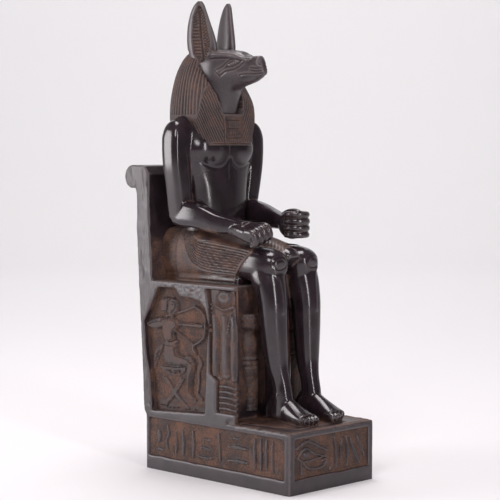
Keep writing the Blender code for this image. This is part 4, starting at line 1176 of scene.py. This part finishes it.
class STATUE_OT_niches(bpy.types.Operator):
    """Seated archer in low relief in each side niche"""
    bl_idname = "statue.niches"
    bl_label = "Niche reliefs"

    def execute(self, context):
        for hand, name in ((-1, "right_niche"), (1, "left_niche")):
            relief = Relief(NICHE_LOW, NICHE_HIGH)
            ground = 0.6 * relief.uneven(1.6, 4) + 0.35 * relief.uneven(3.4, 6)
            calm = relief.within([(53, 108), (24, 117), (15, 107), (15, 98), (24, 92)])
            self.archer(relief)
            relief.soften(2)
            bare = 1 - relief.stroke_mask
            relief.height += bare * ground * (1 - 0.75 * calm) + 0.06 * relief.uneven(1.1, 8)
            base = hand * (PLINTH_HALF - context.scene.statue_sizes.niche_depth / MM)

            def place(u, v, height, base=base, hand=hand):
                beyond = np.maximum(u - NICHE_BEND, 0)
                room = np.interp(v, *np.transpose(NICHE_BACK)) - NICHE_BEND
                narrowed = NICHE_BEND + beyond * room / (NICHE_HIGH[0] - NICHE_BEND)
                return base + hand * height, np.where(u > NICHE_BEND, narrowed, u), v

            patina = 0.42 + bare * (0.25 + 0.12 * calm + 0.15 * relief.uneven(9, 14))
            relief.finish(name, "niche stone", place, 3, patina)
        return {"FINISHED"}

    def archer(self, r):
        """The figure, its bow, folding stool and the cloth behind it."""
        for mark in ARCHER_STROKES:
            r.stroke(*mark)
        for start, end in (((54.6, 66), (32, 46.6)), ((36.6, 66.4), (54.6, 47))):
            middle = ((start[0] + end[0]) / 2, (start[1] + end[1]) / 2 - 1.4)
            for shift in (-1.25, 1.25):
                r.stroke([(x + shift, z) for x, z in (start, middle, end)], 0.85, 1.9, curve=5)
        for outline, proud, edge in ARCHER_PARTS:
            r.patch(outline, proud, edge)
        for edge in ([(40, 106), (27, 106.3), (15, 106.7)], [(39, 103.5), (27, 103.4), (15.4, 103.4)]):
            r.groove(edge, 0.7, -0.35)
        r.groove([(41.8, 118.7), (43.2, 119), (44.6, 118.4)], 0.6, -0.4)
        r.groove([(41, 120.3), (43, 120.8), (45, 120.2)], 0.5, 0.3)
        u, v = r.places.T
        scales = r.within([(54.4, 90), (54.6, 84.4), (41, 84.4), (42, 91)])
        r.height -= 0.35 * scales * wave(u / 2.1 + 0.5 * np.round(v / 2)) * wave(v / 2)
        hair = r.within([(57, 122), (50.5, 123), (49.4, 119), (50, 112), (57, 112)])
        r.height -= 0.4 * hair * wave(v / 1.7)
        seat = r.within(STOOL_SEAT)
        r.height -= 0.4 * seat * wave(np.hypot(u - 44, v - 96) / 1.7)
        cloth = r.within(HANGING_CLOTH)
        r.height -= 0.35 * cloth * wave((u * 0.5 + v) / 2.4)


class STATUE_OT_lion_legs(bpy.types.Operator):
    """Lion's leg at each front corner and the ringed pillars on the front"""
    bl_idname = "statue.lion_legs"
    bl_label = "Lion legs and pillars"

    def execute(self, context):
        for hand, side in ((-1, "right"), (1, "left")):
            leg = self.leg(hand).fused(voxel=0.42)
            leg.smooth(3)
            x, y, z = leg.xyz
            dish = bump(np.hypot((y + 8.8) / 5, (z - 126.4) / 3), 1)
            worn = 0.25 * (uneven(leg.points, (30, 1.6, 3.4), 33) + 0.5)
            leg.press(1.1 * dish * step(np.abs(x), PLINTH_HALF - 2, PLINTH_HALF - 1) + worn)
            leg.finish({side + "_lion_leg": []}, "niche stone", 0.3, keep=0.42)
            pillar = self.pillar(hand).fused(voxel=0.5)
            pillar.smooth(3)
            x, y, z = pillar.xyz
            scales = wave((x + np.round(z / 2.4) * 1.2) / 2.4) * wave(z / 2.4)
            scales = scales * ((z < 79) + (z > 103))
            pillar.press(0.25 * (scales + uneven(pillar.points, 2.4, 17) + 0.6))
            pillar.finish({side + "_pillar": []}, "niche stone", 0.42, keep=0.6)
        return {"FINISHED"}

    def leg(self, hand):
        clay = Clay()
        x = hand * (PLINTH_HALF - 2.8)
        clay.prism([
            (5.4, 131.2), (4.4, 119.2), (3.4, 100.9), (3.6, 74), (-2.6, 69.2), (-2.6, 46), (-20.2, 46),
            (-19.4, 71.1), (-19.8, 79), (-20, 97.1), (-18.4, 115), (-17, 131.2),
        ], hand * (PLINTH_HALF - 5), hand * (PLINTH_HALF - 2))
        for top, middle, low, half in ((2.4, 0.4, 0.6, 3.6), (-7.6, -8.8, -9, 4.2), (-15.6, -17, -17, 3.2)):
            clay.limb([
                (x, top, 114, 1.8, half * 0.7, half * 0.7), (x, middle, 104, 2.3, half, half),
                (x, middle, 92, 2.5, half, half), (x, low, 77, 2.4, half, half),
                (x, low, 72, 1.8, half * 0.9, half * 0.9),
            ])
        clay.ball((x, -8.8, 126.2), (3.2, 8.2, 5.6))
        clay.limb([
            (x, 0.6, 120.6, 2.4, 1.3, 1.3), (x, -8.6, 118, 2.5, 1.4, 1.4), (x, -18, 120.8, 2.3, 1.3, 1.3),
        ])
        for start, end in (((4.6, 121), (1.6, 104)), ((-15, 116.4), (-11.6, 103))):
            for i in range(7):
                share = i / 6
                y, z = (start[k] + (end[k] - start[k]) * share for k in (0, 1))
                clay.ball((x, y, z), (2.3, 1.2, 1.2))
        for y, z, size in ((-4.6, 71.4, 2.6), (-11, 73, 3), (-17.4, 71.4, 2.6)):
            clay.ball((x, y, z), (2.6, size, 2.2))
        for i in range(5):
            z = 65.6 - 3.75 * i
            clay.limb([
                (x, -3.4, z, 2.2, 1.5, 1.5), (x, -11, z + 0.5, 2.7, 1.65, 1.65),
                (x, -20.4, z - 0.4, 2.4, 1.6, 1.6),
            ])
            clay.ball((x, -17, z), (2.9, 1.3, 1.4))
        return clay

    def pillar(self, hand):
        clay = Clay()
        rows = [
            (22.4, 48, 4.2), (22.5, 60, 4.4), (23.2, 70, 5), (24.2, 78, 5.9), (24.3, 80, 4.6),
            (24.3, 86.4, 5), (24.4, 90, 6), (24.6, 95, 6.5), (24.9, 99, 5.4), (24.4, 101.4, 4),
            (24.2, 103.4, 5), (24.1, 106, 7), (24.1, 112, 7.6), (24.1, 115, 6.8),
        ]
        clay.limb([
            (hand * (x - 2.4), FRONT_WALL + 0.6, z, half * 1.25, half, 2)
            for x, z, half in rows
        ], steps=3)
        for z in (81.4, 84.7):
            clay.limb([(hand * 21.8, FRONT_WALL + 0.6, z + dz, 7.2, 5.8, 2) for dz in (-1.1, 1.1)])
        return clay


# Marks on the panels: points, half width at each and height
SIDE_MARKS = [
    ([(-17.4, 31.9), (-20.2, 32.2), (-23, 31.8)], [0.7, 1.4, 0.7], 1.1),
    ([(-58.2, 25.3), (-58, 12.5)], 0.6, 1.0),
    ([(-33, 26.8), (-33.2, 15.1)], 0.5, 0.9),
    ([(-3.2, 33.3), (-4, 24), (-4.6, 14.6)], [0.7, 1.3, 0.8], 1.3),
    ([(17.2, 15.3), (10, 14.8), (2.9, 15.6)], [0.8, 1.4, 0.8], 1.2),
    ([(14.4, 21.2), (10, 21.8), (5.6, 21.2)], [0.8, 1.7, 0.8], 1.2),
    ([(12.2, 28), (8, 27.4), (4, 27.8)], [0.7, 1.2, 0.7], 1.2),
    ([(22.6, 31.6), (21.8, 23), (22.4, 13.8)], [0.8, 1.4, 0.8], 1.3),
    ([(33.4, 31.7), (32.2, 23), (32.8, 14.4)], [0.7, 1.6, 2], 1.3),
    ([(40.2, 29), (39, 22), (39.8, 14.4)], [0.8, 1.3, 0.9], 1.2),
    ([(48.6, 32.7), (47.2, 27), (49.8, 21.5), (48.4, 15.9)], [0.8, 1.4, 1.4, 0.8], 1.3),
    ([(57.4, 27.6), (57, 24.4), (57.2, 21.2)], [1.8, 3.2, 1.8], 1.3),
    ([(60.6, 14.4), (56.6, 15), (53, 14.4)], [0.7, 1.4, 0.7], 1.2),
]
FRONT_MARKS = [
    ([
        (-34.1, 30.2), (-28, 33.4), (-21.8, 33.6), (-11.8, 29), (-4.2, 25.8),
    ], [0.8, 1.5, 1.6, 1.3, 0.7], 1.4),
    ([(-32.9, 24.1), (-28.6, 28.2), (-24.3, 29.4), (-16.8, 25), (-5.5, 22.1)], [0.6, 1, 1.1, 1, 0.7], 1.3),
    ([
        (-32.9, 24.1), (-28.6, 21.2), (-22, 20.8), (-16.8, 21.5), (-5.5, 22.1),
    ], [0.6, 0.9, 1, 0.9, 0.7], 1.3),
    ([(-30.2, 21.4), (-29.6, 16), (-29.2, 12.6)], [1.3, 1.1, 0.6], 1.3),
    ([
        (-27.8, 20.6), (-23.6, 16.5), (-16.8, 15.1), (-9.6, 15.3), (-5.2, 18.2), (-6.6, 20.6), (-9, 19.4),
    ], [0.7, 1, 1.1, 1, 0.9, 0.7, 0.6], 1.3),
    ([(3, 33.6), (4.2, 24), (4.6, 13.6)], [0.8, 1.6, 1], 1.3),
    ([(-1.4, 12.4), (0.4, 16), (0, 20)], [0.6, 0.9, 0.6], 1.1),
    ([(9.6, 31.6), (9, 25), (9.8, 18)], [0.7, 1.2, 0.7], 1.2),
    ([(14, 33.4), (16.6, 24), (15.4, 13.4)], [0.8, 1.7, 1], 1.4),
    ([(18.6, 31), (22.9, 21.7), (28.4, 13.5)], [0.8, 1.8, 1], 1.4),
    ([(26, 31.4), (29.6, 24.4), (33.2, 17.4)], [0.7, 1.3, 0.8], 1.3),
]


class STATUE_OT_panels(bpy.types.Operator):
    """Rows of shallow marks on the plinth's panels"""
    bl_idname = "statue.panels"
    bl_label = "Panel marks"

    def execute(self, context):
        depth = context.scene.statue_sizes.panel_depth / MM
        for hand, name in ((-1, "right_panel"), (1, "left_panel")):
            relief = Relief((-66.5, 8.2), (68.5, 37.6))
            self.side_marks(relief)

            def place(u, v, height, hand=hand):
                return hand * (PLINTH_HALF - depth + height), u, v

            self.cover(relief, name, place)
        relief = Relief((-38, 8.2), (38, 37.6))
        self.front_marks(relief)

        def place_front(u, v, height):
            return u, PLINTH_FRONT + depth - height, v

        self.cover(relief, "front_panel", place_front)
        return {"FINISHED"}

    def cover(self, relief, name, place):
        bare = 1 - relief.stroke_mask
        relief.height += 0.10 * relief.uneven(1.3, 4) + 0.16 * relief.uneven(4, 6)
        patina = 0.28 + bare * (0.42 + 0.2 * relief.uneven(7, 14))
        relief.finish(name, "panel stone", place, 2, patina)

    def side_marks(self, r):
        for y, width in ((-37.4, 1.6), (-43.1, 1.4), (-48.3, 1.5), (-53.9, 1.3)):
            r.stroke([
                (y - 0.3, 34.4), (y + 0.2, 28), (y, 20), (y - 0.2, 13.8),
            ], [0.5, width, width, 0.6], 1.3)
        for middle, z in ((-21.4, 25.9), (-21.9, 16.7)):
            r.stroke([(middle + 9.2, z - 0.4), (middle, z + 0.3), (middle - 9.2, z)], [0.6, 2.2, 0.6], 1.3)
        for mark in SIDE_MARKS:
            r.stroke(*mark)

    def front_marks(self, r):
        """A traditional eye under its brow, with its tear and curl, and strokes beside it."""
        r.patch([
            (-24.3 + 3.5 * math.cos(a), 25.2 + 3.3 * math.sin(a))
            for a in np.arange(16) * math.tau / 16
        ], 1.4, 2)
        for mark in FRONT_MARKS:
            r.stroke(*mark)


# Lights: name, place, aim, size, energy and, where it isn't warm, tint
LIGHTS = [
    ("left softbox", (-0.9, 0.9, 0.35), (0, 0, 0.17), (0.5, 0.75), 8.5),
    ("right strip", (-0.34, -1.26, 0.5), (0, 0, 0.17), (0.1, 0.9), 5.6),
    ("top softbox", (0.1, 0.1, 1.3), (0, 0, 0.17), (0.7, 0.7), 12),
    ("front fill", (-1.25, -0.7, 1.1), (0, 0, 0.15), (0.6, 0.6), 9.5),
    ("wall light", (0.9, 0.9, 1.9), (2.2, 2.2, 0.3), (0.8, 0.8), 28, (1, 0.985, 0.99)),
]


class STATUE_OT_stage(bpy.types.Operator):
    """Pale floor that curves up behind the statue, soft lights and the camera"""
    bl_idname = "statue.stage"
    bl_label = "Stage"

    def execute(self, context):
        self.floor()
        self.camera(context)
        self.lights(context)
        return {"FINISHED"}

    def floor(self):
        """A disc that sweeps up into a wall behind the statue only."""
        profile = [
            (0, 0), (0.3, 0), (1.5, 0), (2.0, 0), *round_about((2.0, 0.9), 0.9, -81, 1, 9), (2.9, 2.4),
        ]
        bm = bmesh.new()
        verts = [bm.verts.new((radius, 0, height)) for radius, height in profile]
        edges = [bm.edges.new(pair) for pair in zip(verts, verts[1:])]
        bmesh.ops.spin(bm, geom=verts + edges, cent=(0, 0, 0), axis=(0, 0, 1), angle=math.tau, steps=96)
        bmesh.ops.remove_doubles(bm, verts=bm.verts, dist=1e-5)
        for vert in bm.verts:
            radius = max(vert.co.xy.length, 0.01)
            vert.co.z *= step((vert.co.x + vert.co.y) / radius, 0.2, 0.6)
        bmesh.ops.recalc_face_normals(bm, faces=bm.faces)
        bmesh.ops.reverse_faces(bm, faces=bm.faces)
        mesh = bpy.data.meshes.new("floor")
        bm.to_mesh(mesh)
        bm.free()
        for face in mesh.polygons:
            face.use_smooth = True
        floor = new_object("floor", mesh)
        nodes = Nodes("pale paper")
        nodes.shader.inputs["Base Color"].default_value = (0.82, 0.81, 0.82, 1)
        nodes.shader.inputs["Roughness"].default_value = 0.8
        nodes.shader.inputs["Specular IOR Level"].default_value = 0.1
        mesh.materials.append(nodes.material)

    def camera(self, context):
        yaw, pitch = math.radians(CAMERA_YAW), math.radians(CAMERA_PITCH)
        level = math.cos(pitch)
        forward = Vector((math.sin(yaw) * level, math.cos(yaw) * level, -math.sin(pitch)))
        data = bpy.data.cameras.new("camera")
        data.sensor_width = 36
        data.lens = 36 * FOCAL_IN_FRAMES
        camera = new_object("camera", data)
        turn = forward.to_track_quat("-Z", "Y").to_matrix().to_4x4()
        camera.matrix_world = Matrix.Translation(CAMERA_PLACE) @ turn
        context.scene.camera = camera

    def lights(self, context):
        context.scene.view_settings.view_transform = "Standard"
        world = bpy.data.worlds.new("studio")
        world.use_nodes = True
        background = world.node_tree.nodes["Background"]
        background.inputs["Color"].default_value = (0.86, 0.86, 0.88, 1)
        background.inputs["Strength"].default_value = 0.12
        context.scene.world = world
        for light in LIGHTS:
            self.area(*light)

    def area(self, name, place, aim, size, energy, tint=(1, 0.95, 0.97)):
        data = bpy.data.lights.new(name, "AREA")
        data.shape = "RECTANGLE"
        data.size, data.size_y = size
        data.energy = energy
        light = new_object(name, data)
        data.color = tint
        light.location = place
        light.rotation_euler = (Vector(aim) - Vector(place)).to_track_quat("-Z", "Y").to_euler()
        light.visible_camera = False


# Finishes: name, roughness, pores in millimetres, and where it has them, brown and pale (its share of the
# rubbed_and_sheen colour)
FINISHES = [
    ("figure stone", 0.19, 0.008),
    ("head stone", 0.33, 0.012, 0.16, 0.5),
    ("carved stone", 0.42, 0.03, 0.1, 0.1),
    ("throne stone", 0.38, 0.04),
    ("niche stone", 0.42, 0.08, 0.08),
    ("panel stone", 0.40, 0.06, 0.08),
]


class STATUE_OT_finishes(bpy.types.Operator):
    """The stone's finishes, from polished skin to rough ground"""
    bl_idname = "statue.finishes"
    bl_label = "Finishes"

    def execute(self, context):
        for finish in FINISHES:
            stone(*finish)
        return {"FINISHED"}


OPERATORS = (
    STATUE_OT_finishes, STATUE_OT_stage, STATUE_OT_head, STATUE_OT_wig, STATUE_OT_body, STATUE_OT_legs,
    STATUE_OT_throne, STATUE_OT_niches, STATUE_OT_lion_legs, STATUE_OT_panels,
)


class STATUE_PT_panel(bpy.types.Panel):
    bl_label = "Seated jackal statue"
    bl_idname = "STATUE_PT_panel"
    bl_space_type = "VIEW_3D"
    bl_region_type = "UI"
    bl_category = "Statue"

    def draw(self, context):
        for group in (context.scene.statue_finish, context.scene.statue_sizes):
            for name in group.bl_rna.properties.keys():
                if name not in ("rna_type", "name"):
                    self.layout.prop(group, name)
        for operator in OPERATORS:
            self.layout.operator(operator.bl_idname)


CLASSES = (FinishSettings, SizeSettings, *OPERATORS, STATUE_PT_panel)


def register():
    for one in CLASSES:
        bpy.utils.register_class(one)
    bpy.types.Scene.statue_finish = bpy.props.PointerProperty(type=FinishSettings)
    bpy.types.Scene.statue_sizes = bpy.props.PointerProperty(type=SizeSettings)


def unregister():
    del bpy.types.Scene.statue_finish
    del bpy.types.Scene.statue_sizes
    for one in reversed(CLASSES):
        bpy.utils.unregister_class(one)


def main():
    register()
    for operator in OPERATORS:
        group, name = operator.bl_idname.split(".")
        getattr(getattr(bpy.ops, group), name)()


if __name__ == "__main__":
    main()
